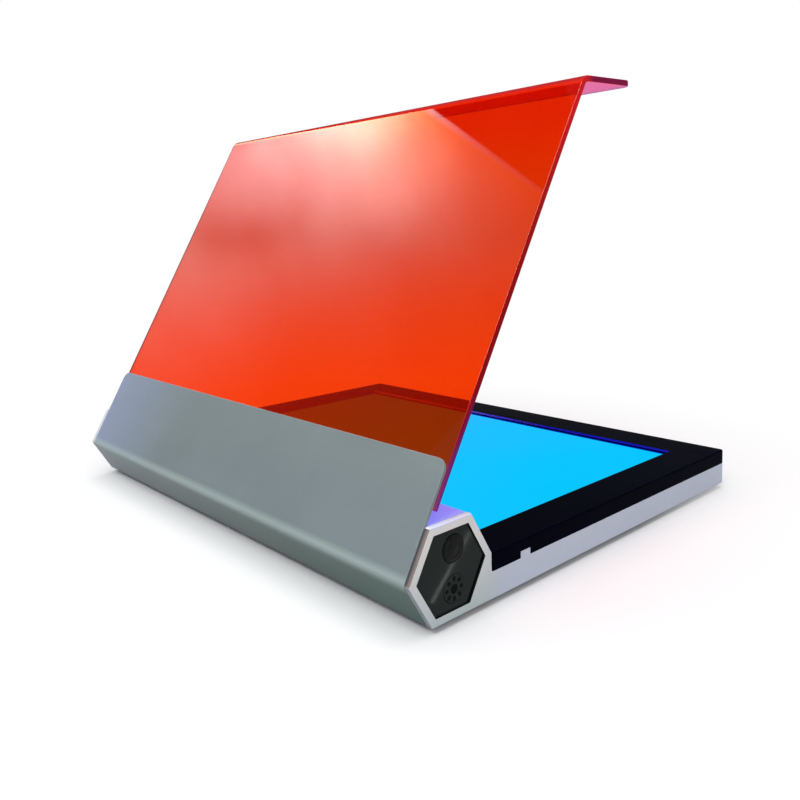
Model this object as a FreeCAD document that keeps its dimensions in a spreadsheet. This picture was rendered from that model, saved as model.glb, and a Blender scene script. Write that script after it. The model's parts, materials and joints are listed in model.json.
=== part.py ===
import FreeCAD
import Part

import os
import re

import Sketcher

# LED transilluminator with an amber cover that turns on a hexagonal barrel
# The frame is +Z up and +X along the hinge, with the user at -Y and the origin under the middle
# of the unit on the surface that it stands on. The cover is drawn open, 60 degrees from closed.
# Profiles of the hinge are drawn in the YZ plane about the hinge axis, seen along -X.

doc = FreeCAD.newDocument("Transilluminator")
sizes = doc.addObject("Spreadsheet::Sheet", "Sizes")
nodes = []

# Driving dimensions, in millimetres or degrees unless they are counts
DIMENSIONS = {
    # Outer form
    "overall_width": 322,
    "hex_radius": 24,
    "opening_radius": 20,
    "base_reach": 235.5,
    "frame_drop": 0.5,
    "frame_height": 8,
    "plate_thick": 3,
    "corner_round": 2.5,
    "edge_chamfer": 0.4,
    "foot_height": 3,
    "rear_gap": 0.6,
    # Locking tab of each side plate in its notch of the frame
    "tab_start": 43.2,
    "tab_width": 6.8,
    "tab_height": 3,
    "tab_play": 0.2,
    # Base tray and frame
    "tray_wall": 1.5,
    "frame_wall": 2,
    "frame_roof": 1.8,
    "window_side": 23.2,
    "window_front": 25.5,
    "window_rear": 14,
    "window_chamfer": 0.9,
    "boss_radius": 3,
    "boss_inset": 9,
    "boss_gap": 1.5,
    "screw_radius": 1.5,
    "screw_play": 0.05,
    "screw_length": 10,
    "screw_spare": 0.5,
    "head_radius": 2.8,
    "head_height": 1.6,
    "side_screw_rear": 60,
    "side_screw_front": 24,
    "side_screw_skin": 0.75,
    "side_screw_spare": 0.15,
    # Light unit under the window
    "glass_overlap": 4,
    "seal_thick": 0.3,
    "glass_thick": 3,
    "diffuser_thick": 2,
    "reflector_wall": 2,
    "board_thick": 1.6,
    "pad_thick": 0.6,
    "led_side": 3,
    "led_height": 0.8,
    "led_pitch": 24,
    "led_columns": 11,
    "led_rows": 7,
    "driver_length": 80,
    "driver_depth": 14,
    "standoff_height": 2,
    "standoff_radius": 1.6,
    "coil_radius": 4,
    "coil_height": 4.5,
    "capacitor_radius": 3,
    "capacitor_height": 6,
    "chip_height": 2,
    "terminal_height": 4,
    # Feet
    "foot_radius": 5.5,
    "foot_inset": 17,
    "foot_rear": 46,
    "foot_front": 30,
    "foot_stem": 1.8,
    "foot_taper": 0.55,
    "foot_bulge": 0.4,
    "foot_head": 1.2,
    # Cover
    "end_gap": 0.3,
    "sheet_thick": 1.5,
    "sheet_reach": 52,
    "sheet_tail": 23.7,
    "sheet_corner": 5,
    "sheet_bend": 2.5,
    "tape_thick": 0.2,
    "tape_margin": 1,
    "barrel_tape_start": 6,
    "barrel_tape_end": 20,
    "amber_thick": 3,
    "amber_start": 31.3,
    "amber_reach": 239.4,
    "lip_length": 40,
    "lip_bend": 58,
    "lip_round": 3,
    "lip_corner": 5,
    # Barrel and what it turns on
    "face_play": 0.15,
    "barrel_wall": 2,
    "core_radius": 11,
    "core_wall": 1.5,
    "running_play": 0.05,
    "seat_play": 0.02,
    "bush_length": 10,
    "stop_depth": 4,
    "stop_radius": 14.8,
    "stop_half_angle": 10,
    "stop_play": 0.5,
    "slot_play": 0.3,
    "slot_spare": 0.5,
    "swing": 60,
    "spring_height": 0.9,
    "spring_thick": 0.4,
    "spring_play": 0.3,
    # Pods in the two hexagonal ends
    "flange_radius": 18.2,
    "flange_thick": 1.2,
    "flange_play": 0.3,
    "pod_radius": 16.6,
    "pod_wall": 1.2,
    "pod_depth": 14.5,
    "pod_floor": 1.5,
    "core_seat": 0.5,
    "hub_radius": 13.2,
    "hub_length": 3,
    "panel_thick": 2.1,
    "panel_play": 0.1,
    "guide_thick": 2.2,
    "button_radius": 6,
    "button_offset": 8.6,
    "button_across": 1.6,
    "button_proud": 0.2,
    "button_rim": 0.35,
    "button_play": 0.15,
    "button_travel": 0.6,
    "button_seat": 0.05,
    "button_flange": 0.55,
    "button_back": 0.2,
    "stem_wall": 0.8,
    "stem_gap": 0.2,
    "plunger_radius": 1.7,
    "plunger_bite": 1,
    "well_spare": 0.4,
    "switch_side": 6,
    "switch_height": 3.5,
    "control_board_at": 9.9,
    "connector_width": 8,
    "connector_height": 5,
    "jack_radius": 5.5,
    "jack_bore": 2.8,
    "jack_bore_depth": 10,
    "jack_nose_step": 0.7,
    "jack_flange_step": 1,
    "jack_pin_radius": 1,
    "jack_pin_recess": 1.2,
    "jack_pin_tip": 0.3,
    "jack_length": 12.5,
    "jack_nut_across": 14,
    "jack_nut_thick": 2,
    "cable_radius": 1.75,
    "cable_spare": 0.5,
}
for row, (alias, number) in enumerate(DIMENSIONS.items(), 1):
    sizes.set(f"A{row}", alias)
    sizes.set(f"B{row}", str(number))
    sizes.setAlias(f"B{row}", alias)
doc.recompute()

ALIAS = re.compile(r"\b(" + "|".join(DIMENSIONS) + r")\b")


def formula(text):
    """A formula in the names above, as the document writes it."""
    return ALIAS.sub(r"Sizes.\1", text)


def value(text):
    """The number that a formula gives now."""
    return float(sizes.evalExpression(formula(text)))


def bind(item, **formulas):
    """Ties properties to formulas."""
    for name, text in formulas.items():
        item.setExpression(name, formula(text))


def place(item, x="0", y="0", z="0"):
    """Ties an item's place in the frame to formulas."""
    item.setExpression("Placement.Base.x", formula(x))
    item.setExpression("Placement.Base.y", formula(y))
    item.setExpression("Placement.Base.z", formula(z))


def node(item, label):
    """Marks an object as a sub-part, which its label names."""
    item.Label = label
    nodes.append(item)
    return item


# Places that many pieces share
HINGE_Y = "((base_reach - hex_radius) / 2)"
HINGE_Z = "(foot_height + hex_radius * cos(30))"
HALF_WIDTH = "(overall_width / 2)"
INNER_HALF = "(overall_width / 2 - plate_thick)"
COVER_HALF = "(overall_width / 2 - plate_thick - end_gap)"
HEX_FLAT = "(hex_radius * cos(30))"
FRAME_TOP = "(-frame_drop)"
SPLIT = "(-frame_drop - frame_height)"
REAR = "(hex_radius + rear_gap)"
WINDOW_X = "(overall_width / 2 - window_side)"
WINDOW_REAR = "(hex_radius + rear_gap + window_rear)"
WINDOW_FRONT = "(base_reach - window_front)"
GLASS_TOP = "(-frame_drop - frame_roof - seal_thick)"
DIFFUSER_TOP = "(-frame_drop - frame_roof - seal_thick - glass_thick)"
FLOOR_TOP = "(tray_wall - hex_radius * cos(30))"
RECESSED_FLAT = "(hex_radius * cos(30) - sheet_thick - tape_thick)"
FULL_FLAT = "(hex_radius * cos(30) - face_play)"
BORE_FLAT = "(hex_radius * cos(30) - sheet_thick - tape_thick - barrel_wall)"


def new_body(label, x="0", y=HINGE_Y, z=HINGE_Z):
    """A body whose own origin stands at a point of the hinge axis unless said otherwise."""
    item = doc.addObject("PartDesign::Body", "Body")
    place(item, x, y, z)
    return node(item, label)


def sketch_on(body, plane, offset="0"):
    """An empty sketch on one of the body's own origin planes, moved along its normal."""
    item = body.newObject("Sketcher::SketchObject", "Sketch")
    origin_plane = [f for f in body.Origin.OriginFeatures if f.Role == plane][0]
    item.AttachmentSupport = (origin_plane, "")
    item.MapMode = "FlatFace"
    item.setExpression("AttachmentOffset.Base.z", formula(offset))
    return item


def outline(sketch, corners):
    """A closed outline whose corners are pairs of formulas."""
    points = [FreeCAD.Vector(value(a), value(b), 0) for a, b in corners]
    first = sketch.GeometryCount
    count = len(points)
    for i, point in enumerate(points):
        sketch.addGeometry(Part.LineSegment(point, points[(i + 1) % count]))
    for i in range(count):
        follows = first + (i + 1) % count
        sketch.addConstraint(Sketcher.Constraint("Coincident", first + i, 2, follows, 1))
    for i, (across, up) in enumerate(corners):
        tie(sketch, "DistanceX", first + i, 1, points[i].x, across)
        tie(sketch, "DistanceY", first + i, 1, points[i].y, up)


def tie(sketch, kind, geometry, position, number, text):
    """A distance from the sketch's origin that follows a formula."""
    index = sketch.addConstraint(Sketcher.Constraint(kind, -1, 1, geometry, position, number))
    sketch.setExpression(f"Constraints[{index}]", formula(text))


def rectangle(sketch, left, low, right, high):
    outline(sketch, [(left, low), (right, low), (right, high), (left, high)])


def disc(sketch, across, up, radius):
    """A circle whose centre and radius follow formulas."""
    centre = FreeCAD.Vector(value(across), value(up), 0)
    circle = Part.Circle(centre, FreeCAD.Vector(0, 0, 1), value(radius))
    index = sketch.addGeometry(circle)
    tie(sketch, "DistanceX", index, 3, centre.x, across)
    tie(sketch, "DistanceY", index, 3, centre.y, up)
    constraint = sketch.addConstraint(Sketcher.Constraint("Radius", index, circle.Radius))
    sketch.setExpression(f"Constraints[{constraint}]", formula(radius))


def hexagon(radius):
    """The corners of a hexagon with a level top and bottom."""
    return [(f"{radius} * cos({k * 60})", f"{radius} * sin({k * 60})") for k in range(6)]


def faced_hexagon(flats):
    """The corners of a six-sided outline with its own distance to each flat, from 30 degrees on."""
    corners = []
    for k in range(6):
        here = flats[k]
        after = flats[(k + 1) % 6]
        along = f"(({after} - {here} / 2) / sin(60))"
        turn = 30 + 60 * k
        corners.append(
            (
                f"{here} * cos({turn}) - {along} * sin({turn})",
                f"{here} * sin({turn}) + {along} * cos({turn})",
            )
        )
    return corners


def pad(body, sketch, length, reverse=False):
    """Material added along the sketch's normal."""
    item = body.newObject("PartDesign::Pad", "Pad")
    item.Profile = sketch
    item.Reversed = reverse
    bind(item, Length=length)
    return item


def pocket(body, sketch, depth, along=True):
    """Material cut along the sketch's normal, or against it. It must make the body smaller."""
    doc.recompute()
    before = body.Shape.Volume
    item = body.newObject("PartDesign::Pocket", "Pocket")
    item.Profile = sketch
    item.Reversed = along
    bind(item, Length=depth)
    doc.recompute()
    if not body.Shape.Volume < before - 0.01:
        raise ValueError(f"a pocket of {body.Label} cuts nothing")
    return item


def turned(body, sketch, axis="H_Axis"):
    """A sketch revolved once round one of its own axes."""
    item = body.newObject("PartDesign::Revolution", "Revolution")
    item.Profile = sketch
    item.ReferenceAxis = (sketch, [axis])
    item.Angle = 360
    return item


def edges_where(body, wanted):
    """The names of the edges of the body's last feature whose middle and ends pass a test."""
    doc.recompute()
    names = []
    for i, edge in enumerate(body.Tip.Shape.Edges):
        ends = [vertex.Point for vertex in edge.Vertexes]
        if len(ends) == 2 and wanted(ends[0], ends[1]):
            names.append(f"Edge{i + 1}")
    if not names:
        raise ValueError(f"{body.Label} has no such edge")
    return names


def soften(body, kind, wanted, length):
    """Rounds or chamfers the edges that pass a test."""
    names = edges_where(body, wanted)
    item = body.newObject(f"PartDesign::{kind}", kind)
    item.Base = (item.BaseFeature or body.Tip, names)
    if kind == "Fillet":
        bind(item, Radius=length)
    else:
        bind(item, Size=length)
    return item


def near(a, b):
    return abs(a - b) < 0.01


def group(label, members):
    """Separate like solids that share one node."""
    item = doc.addObject("Part::Compound", "Group")
    item.Links = members
    return node(item, label)


def box(x, y, z, length, width, height):
    """A block from its lowest corner."""
    item = doc.addObject("Part::Box", "Box")
    place(item, x, y, z)
    bind(item, Length=length, Width=width, Height=height)
    return item


def rod(x, y, z, radius, length, direction=(0, 0, 1)):
    """A round bar from the middle of its first end."""
    item = doc.addObject("Part::Cylinder", "Rod")
    item.Placement.Rotation = FreeCAD.Rotation(FreeCAD.Vector(0, 0, 1), FreeCAD.Vector(*direction))
    place(item, x, y, z)
    bind(item, Radius=radius, Height=length)
    return item


SIDES = (("left", -1), ("right", 1))


def at_y(reach):
    """The place along Y of a distance in front of the hinge axis."""
    return f"({HINGE_Y} - {reach})"


def at_z(height):
    """The place along Z of a height above the hinge axis."""
    return f"({HINGE_Z} + {height})"


# Side plates: a hexagonal end and a bar that runs forward below the black frame
SIDE_SCREW_STEP = "((base_reach - side_screw_front - side_screw_rear) / 3)"
SIDE_SCREWS = [f"(side_screw_rear + {i} * {SIDE_SCREW_STEP})" for i in range(4)]
SIDE_SCREW_Z = "((-frame_drop - frame_height - hex_radius * cos(30)) / 2)"


def side_plate(side, sign):
    body = new_body(f"side_plate_{side}", x=f"{sign} * {HALF_WIDTH}")
    profile = sketch_on(body, "YZ_Plane")
    corners = hexagon("hex_radius")
    tab_end = "(-tab_start - tab_width)"
    tab_top = f"({SPLIT} + tab_height)"
    bar = [
        ("-hex_radius", SPLIT),
        ("-tab_start", SPLIT),
        ("-tab_start", tab_top),
        (tab_end, tab_top),
        (tab_end, SPLIT),
        ("-base_reach", SPLIT),
        ("-base_reach", f"-{HEX_FLAT}"),
    ]
    outline(profile, [corners[0], corners[1], corners[2], corners[3], *bar, corners[5]])
    pad(body, profile, "plate_thick", reverse=sign > 0)

    opening = sketch_on(body, "YZ_Plane")
    outline(opening, hexagon("opening_radius"))
    pocket(body, opening, "plate_thick", along=sign < 0)

    holes = sketch_on(body, "YZ_Plane", f"{-sign} * plate_thick")
    for reach in SIDE_SCREWS:
        disc(holes, f"-{reach}", SIDE_SCREW_Z, "(screw_radius + screw_play)")
    pocket(body, holes, "(plate_thick - side_screw_skin)", along=sign > 0)

    front = -value("base_reach")
    soften(
        body,
        "Fillet",
        lambda a, b: near(a.y, front) and near(b.y, front) and near(a.x, 0) and near(b.x, 0),
        "corner_round",
    )
    low = -value(HEX_FLAT)
    soften(
        body,
        "Chamfer",
        lambda a, b: near(a.x, 0) and near(b.x, 0) and near(a.z, low) and near(b.z, low) and a.y * b.y < 0,
        "edge_chamfer",
    )


for side, sign in SIDES:
    side_plate(side, sign)

# Base tray: an open pan between the side plates
CORNER_BOSS_X = "(overall_width / 2 - plate_thick - boss_inset)"
BOSS_REAR = "(hex_radius + rear_gap + tray_wall + boss_radius + boss_gap)"
BOSS_FRONT = "(base_reach - boss_inset)"
BOSSES = [
    (f"{across} * {CORNER_BOSS_X}", reach) for across in (-1, 0, 1) for reach in (BOSS_REAR, BOSS_FRONT)
]
FEET = [
    (f"{across} * ({HALF_WIDTH} - foot_inset)", reach)
    for across in (-1, 1)
    for reach in ("foot_rear", "(base_reach - foot_front)")
]

tray = new_body("base_tray")
pan = sketch_on(tray, "XY_Plane", f"-{HEX_FLAT}")
rectangle(pan, f"-{INNER_HALF}", "-base_reach", INNER_HALF, f"-{REAR}")
pad(tray, pan, f"{SPLIT} + {HEX_FLAT}")
hollow = sketch_on(tray, "XY_Plane", FLOOR_TOP)
rectangle(
    hollow,
    f"tray_wall - {INNER_HALF}",
    "tray_wall - base_reach",
    f"{INNER_HALF} - tray_wall",
    f"-{REAR} - tray_wall",
)
pocket(tray, hollow, f"{SPLIT} - {FLOOR_TOP} + 1")
through = sketch_on(tray, "XY_Plane", f"-{HEX_FLAT}")
for x, reach in BOSSES:
    disc(through, x, f"-{reach}", "(screw_radius + screw_play)")
for x, reach in FEET:
    disc(through, x, f"-{reach}", "(foot_stem + seat_play)")
pocket(tray, through, "tray_wall")
for end in (-1, 1):
    side_holes = sketch_on(tray, "YZ_Plane", f"{end} * ({INNER_HALF} - tray_wall)")
    for reach in SIDE_SCREWS:
        disc(side_holes, f"-{reach}", SIDE_SCREW_Z, "(screw_radius + screw_play)")
    pocket(tray, side_holes, "tray_wall", along=end > 0)
tray_low = -value(HEX_FLAT)
soften(
    tray,
    "Chamfer",
    lambda a, b: all(near(p.z, tray_low) and near(p.y, -value("base_reach")) for p in (a, b)),
    "edge_chamfer",
)

# Black frame: a hollow moulded ring round the window, with screw bosses and tab notches
frame = new_body("frame")
block = sketch_on(frame, "XY_Plane", SPLIT)
rectangle(block, f"-{HALF_WIDTH}", "-base_reach", HALF_WIDTH, f"-{REAR}")
pad(frame, block, "frame_height")
ROOF_LOW = "(-frame_drop - frame_roof)"
under = sketch_on(frame, "XY_Plane", SPLIT)
rectangle(
    under,
    f"frame_wall - {HALF_WIDTH}",
    "frame_wall - base_reach",
    f"{HALF_WIDTH} - frame_wall",
    f"-{REAR} - frame_wall",
)
pocket(frame, under, "frame_height - frame_roof")
view = sketch_on(frame, "XY_Plane", ROOF_LOW)
rectangle(view, f"-{WINDOW_X}", f"-{WINDOW_FRONT}", WINDOW_X, f"-{WINDOW_REAR}")
pocket(frame, view, "frame_roof")
front_y = -value("base_reach")
half = value(HALF_WIDTH)
soften(
    frame,
    "Fillet",
    lambda a, b: near(a.y, front_y) and near(b.y, front_y) and near(abs(a.x), half) and near(a.x, b.x),
    "corner_round",
)
top = value(FRAME_TOP)
window_x = value(WINDOW_X)
window_front = -value(WINDOW_FRONT)
window_rear = -value(WINDOW_REAR)
soften(
    frame,
    "Chamfer",
    lambda a, b: all(
        near(p.z, top) and near(abs(p.x), window_x) and (near(p.y, window_front) or near(p.y, window_rear))
        for p in (a, b)
    ),
    "window_chamfer",
)
bosses = sketch_on(frame, "XY_Plane", ROOF_LOW)
for x, reach in BOSSES:
    disc(bosses, x, f"-{reach}", "boss_radius")
pad(frame, bosses, f"{ROOF_LOW} - {FLOOR_TOP}", reverse=True)
boss_holes = sketch_on(frame, "XY_Plane", FLOOR_TOP)
for x, reach in BOSSES:
    disc(boss_holes, x, f"-{reach}", "(screw_radius + screw_play)")
pocket(frame, boss_holes, "screw_length")
for end in (-1, 1):
    notch = sketch_on(frame, "YZ_Plane", f"{end} * {HALF_WIDTH}")
    rectangle(
        notch,
        "-tab_start - tab_width - tab_play",
        SPLIT,
        "tab_play - tab_start",
        f"{SPLIT} + tab_height + tab_play",
    )
    pocket(frame, notch, "(plate_thick + end_gap)", along=end < 0)


def window_plate(label, top_z, thick, margin):
    """A rectangular sheet of the light unit, larger than the window by a margin all round."""
    body = new_body(label)
    face = sketch_on(body, "XY_Plane", top_z)
    rectangle(
        face,
        f"-{WINDOW_X} - {margin}",
        f"-{WINDOW_FRONT} - {margin}",
        f"{WINDOW_X} + {margin}",
        f"{margin} - {WINDOW_REAR}",
    )
    pad(body, face, thick, reverse=True)
    return body


def window_hole(body, top_z, depth, margin):
    """A rectangular hole through a sheet of the light unit."""
    hole = sketch_on(body, "XY_Plane", top_z)
    rectangle(
        hole,
        f"-{WINDOW_X} - {margin}",
        f"-{WINDOW_FRONT} - {margin}",
        f"{WINDOW_X} + {margin}",
        f"{margin} - {WINDOW_REAR}",
    )
    pocket(body, hole, depth, along=False)


# Light unit: seal, glass, diffuser, reflector, LED board on its thermal pad, LEDs
BOARD_TOP = f"({FLOOR_TOP} + pad_thick + board_thick)"
REFLECTOR_TOP = f"({DIFFUSER_TOP} - diffuser_thick)"
seal = window_plate("window_seal", ROOF_LOW, "seal_thick", "glass_overlap")
window_hole(seal, ROOF_LOW, "seal_thick", "(glass_overlap / 4)")
window_plate("window_glass", GLASS_TOP, "glass_thick", "glass_overlap")
window_plate("diffuser_sheet", DIFFUSER_TOP, "diffuser_thick", "glass_overlap")
reflector = window_plate("reflector", REFLECTOR_TOP, f"{REFLECTOR_TOP} - {BOARD_TOP}", "glass_overlap")
window_hole(
    reflector, REFLECTOR_TOP, f"{REFLECTOR_TOP} - {BOARD_TOP}", "(glass_overlap - reflector_wall)"
)
window_plate("led_board", BOARD_TOP, "board_thick", "glass_overlap")
window_plate("thermal_pad", f"({FLOOR_TOP} + pad_thick)", "pad_thick", "(glass_overlap - 1)")

leds = []
mid_reach = f"(({WINDOW_FRONT} + {WINDOW_REAR}) / 2)"
for column in range(round(value("led_columns"))):
    for row in range(round(value("led_rows"))):
        leds.append(
            box(
                f"({column} - (led_columns - 1) / 2) * led_pitch - led_side / 2",
                f"{at_y(mid_reach)} + ({row} - (led_rows - 1) / 2) * led_pitch - led_side / 2",
                at_z(BOARD_TOP),
                "led_side",
                "led_side",
                "led_height",
            )
        )
group("blue_leds", leds)

# Driver board in the front margin, on its standoffs
DRIVER_X = "(boss_radius * 6)"
DRIVER_REACH = f"({WINDOW_FRONT} + glass_overlap + 1 + driver_depth)"
DRIVER_Z = f"({FLOOR_TOP} + standoff_height)"
node(
    box(
        DRIVER_X, at_y(DRIVER_REACH), at_z(DRIVER_Z), "driver_length", "driver_depth", "board_thick"
    ),
    "driver_board",
)
group(
    "driver_standoffs",
    [
        rod(
            f"{DRIVER_X} + driver_length * {share}",
            f"{at_y(DRIVER_REACH)} + driver_depth * {depth}",
            at_z(FLOOR_TOP),
            "standoff_radius",
            "standoff_height",
        )
        for share in ("0.06", "0.94")
        for depth in ("0.2", "0.8")
    ],
)
DRIVER_TOP = f"({DRIVER_Z} + board_thick)"
driver_mid = f"{at_y(DRIVER_REACH)} + driver_depth / 2"
group(
    "driver_parts",
    [
        rod(f"{DRIVER_X} + driver_length * 0.25", driver_mid, at_z(DRIVER_TOP), "coil_radius", "coil_height"),
        rod(
            f"{DRIVER_X} + driver_length * 0.42",
            driver_mid,
            at_z(DRIVER_TOP),
            "capacitor_radius",
            "capacitor_height",
        ),
        box(
            f"{DRIVER_X} + driver_length * 0.55",
            f"{driver_mid} - driver_depth / 4",
            at_z(DRIVER_TOP),
            "driver_length * 0.1",
            "driver_depth / 2",
            "chip_height",
        ),
        box(
            f"{DRIVER_X} + driver_length * 0.8",
            f"{driver_mid} - driver_depth * 0.35",
            at_z(DRIVER_TOP),
            "driver_length * 0.08",
            "driver_depth * 0.7",
            "terminal_height",
        ),
    ],
)

# Rubber feet, pressed into the tray floor
FOOT_NAMES = ["foot_rear_left", "foot_front_left", "foot_rear_right", "foot_front_right"]
for name, (x, reach) in zip(FOOT_NAMES, FEET):
    foot = new_body(name, x, at_y(reach), "foot_height")
    half_section = sketch_on(foot, "XZ_Plane")
    outline(
        half_section,
        [
            ("0", "-foot_height"),
            ("foot_radius - foot_taper", "-foot_height"),
            ("foot_radius", "0"),
            ("foot_stem", "0"),
            ("foot_stem", "tray_wall"),
            ("foot_stem + foot_bulge", "tray_wall"),
            ("foot_stem", "tray_wall + foot_head"),
            ("0", "tray_wall + foot_head"),
        ],
    )
    turned(foot, half_section, "V_Axis")


def screw(x, y, z, direction, reach):
    """A pan-head screw whose head stands behind its seat at x, y, z."""
    shank = rod(x, y, z, "screw_radius", reach, direction)
    back = tuple(-number for number in direction)
    head = rod(x, y, z, "head_radius", "head_height", back)
    item = doc.addObject("Part::Fuse", "Screw")
    item.Base = shank
    item.Tool = head
    return item


# Screws: six from below through the floor into the frame's bosses, four in each side plate
group(
    "bottom_screws",
    [
        screw(x, at_y(reach), "foot_height", (0, 0, 1), "(screw_length + tray_wall - screw_spare)")
        for x, reach in BOSSES
    ],
)
group(
    "side_screws",
    [
        screw(
            f"{sign} * ({INNER_HALF} - tray_wall)",
            at_y(reach),
            at_z(SIDE_SCREW_Z),
            (sign, 0, 0),
            "(tray_wall + plate_thick - side_screw_skin - side_screw_spare)",
        )
        for side, sign in SIDES
        for reach in SIDE_SCREWS
    ],
)

# Cover sheet: bent over the hexagon's rear corner, drawn in the hinge's own section
# Its two faces are those whose normals stand at 30 and -30 degrees.


def on_face(along, inward, up=1):
    """A point of the upper (or lower) rear face: its distance from the rear corner and its depth."""
    return (
        f"hex_radius - ({along}) * cos(60) - ({inward}) * cos(30)",
        f"{up} * (({along}) * sin(60) - ({inward}) * sin(30))",
    )


INNER_BEND = "((hex_radius * cos(30) - sheet_thick) / cos(30))"
sheet = new_body("cover_sheet", x=f"-{COVER_HALF}")
section = sketch_on(sheet, "YZ_Plane")
outline(
    section,
    [
        ("hex_radius", "0"),
        on_face("sheet_reach", "0"),
        on_face("sheet_reach", "sheet_thick"),
        (INNER_BEND, "0"),
        on_face("sheet_tail", "sheet_thick", -1),
        on_face("sheet_tail", "0", -1),
    ],
)
pad(sheet, section, f"2 * {COVER_HALF}")
for bend, radius in ((INNER_BEND, "(sheet_bend - sheet_thick)"), ("hex_radius", "sheet_bend")):
    bend_y = value(bend)
    soften(sheet, "Fillet", lambda a, b: all(near(p.y, bend_y) and near(p.z, 0) for p in (a, b)), radius)
sheet_top = value("sheet_reach * sin(60)")
soften(
    sheet,
    "Fillet",
    lambda a, b: near(a.x, b.x)
    and min(a.z, b.z) > sheet_top - value("sheet_thick")
    and abs(a.y - b.y) > 0.1,
    "sheet_corner",
)

# Amber filter: a flat plate with a lip bent along its front edge
AMBER_IN = "(sheet_thick + tape_thick)"
amber = new_body("amber_filter", x=f"-{COVER_HALF}")
amber_top = on_face("amber_reach", AMBER_IN)
lip_turn = "(120 + lip_bend)"
lip_end = (
    f"{amber_top[0]} + lip_length * cos({lip_turn})",
    f"{amber_top[1]} + lip_length * sin({lip_turn})",
)
lip_end_inner = (
    f"{lip_end[0]} - amber_thick * sin({lip_turn})",
    f"{lip_end[1]} + amber_thick * cos({lip_turn})",
)
INNER_SLIDE = "(amber_thick * tan(lip_bend / 2))"
amber_section = sketch_on(amber, "YZ_Plane")
outline(
    amber_section,
    [
        on_face("amber_start", AMBER_IN),
        amber_top,
        lip_end,
        lip_end_inner,
        on_face(f"amber_reach - {INNER_SLIDE}", f"{AMBER_IN} + amber_thick"),
        on_face("amber_start", f"{AMBER_IN} + amber_thick"),
    ],
)
pad(amber, amber_section, f"2 * {COVER_HALF}")


def at_point(corner):
    """A test for edges that run along X at a corner of the hinge section."""
    y, z = value(corner[0]), value(corner[1])
    return lambda a, b: all(near(p.y, y) and near(p.z, z) for p in (a, b))


amber_inner = on_face(f"amber_reach - {INNER_SLIDE}", f"{AMBER_IN} + amber_thick")
soften(amber, "Fillet", at_point(amber_inner), "lip_round")
soften(amber, "Fillet", at_point(amber_top), "(lip_round + amber_thick)")
lip_y = value(lip_end[0])
soften(
    amber,
    "Fillet",
    lambda a, b: near(a.x, b.x) and max(a.y, b.y) < lip_y + 1 and abs(a.z - b.z) > 1,
    "lip_corner",
)


def tape(label, faces):
    """Thin bonding tape in the hinge section: along a face, from a start to an end, at a depth."""
    body = new_body(label, x=f"-{COVER_HALF}")
    for start, end, depth, up in faces:
        strip = sketch_on(body, "YZ_Plane", "sheet_corner")
        outline(
            strip,
            [
                on_face(start, depth, up),
                on_face(end, depth, up),
                on_face(end, f"{depth} + tape_thick", up),
                on_face(start, f"{depth} + tape_thick", up),
            ],
        )
        pad(body, strip, f"2 * ({COVER_HALF} - sheet_corner)")


tape("filter_tape", [("amber_start + tape_margin", "sheet_reach - tape_margin", "sheet_thick", 1)])
tape("barrel_tapes", [("barrel_tape_start", "barrel_tape_end", "sheet_thick", up) for up in (1, -1)])

# Barrel: a six-sided tube whose two open faces lie level with the sheet, recessed under the sheet
barrel = new_body("hinge_barrel", x=f"-{COVER_HALF}")
barrel_section = sketch_on(barrel, "YZ_Plane")
outline(
    barrel_section,
    faced_hexagon([RECESSED_FLAT, FULL_FLAT, FULL_FLAT, RECESSED_FLAT, RECESSED_FLAT, RECESSED_FLAT]),
)
outline(barrel_section, faced_hexagon([BORE_FLAT] * 6))
pad(barrel, barrel_section, f"2 * {COVER_HALF}")
MOUTH_DEPTH = "(flange_thick + flange_play)"
for end, along in (("0", True), (f"2 * {COVER_HALF}", False)):
    mouth = sketch_on(barrel, "YZ_Plane", end)
    disc(mouth, "0", "0", "(flange_radius + flange_play)")
    pocket(barrel, mouth, MOUTH_DEPTH, along=along)

# Core tube, fixed between the pods
CORE_END = "(pod_depth + core_seat)"
HUB_END = "(pod_depth + pod_floor + hub_length)"
core = new_body("core_tube", x=f"{CORE_END} - {INNER_HALF}")
core_section = sketch_on(core, "YZ_Plane")
disc(core_section, "0", "0", "core_radius")
disc(core_section, "0", "0", "(core_radius - core_wall)")
pad(core, core_section, f"2 * ({INNER_HALF} - {CORE_END})")


def sector(inner, outer, start, end):
    """A four-cornered wedge between two radii and two angles."""
    return [
        (f"{inner} * cos({start})", f"{inner} * sin({start})"),
        (f"{outer} * cos({start})", f"{outer} * sin({start})"),
        (f"{outer} * cos({end})", f"{outer} * sin({end})"),
        (f"{inner} * cos({end})", f"{inner} * sin({end})"),
    ]


def inward(side, depth):
    """The place along X at a depth inside a side plate."""
    return f"(({depth}) - {INNER_HALF})" if side == "left" else f"({INNER_HALF} - ({depth}))"


def end_body(label, side):
    """A body at the inner face of a side plate, on the hinge axis."""
    return new_body(label, x=inward(side, "0"))


def ring_of(body, side, corners):
    """Revolves a half section about the hinge axis; corners are depth inside the plate and radius."""
    sign = "" if side == "left" else "-"
    half_section = sketch_on(body, "XY_Plane")
    outline(half_section, [(f"{sign}({depth})", radius) for depth, radius in corners])
    turned(body, half_section)


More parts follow.
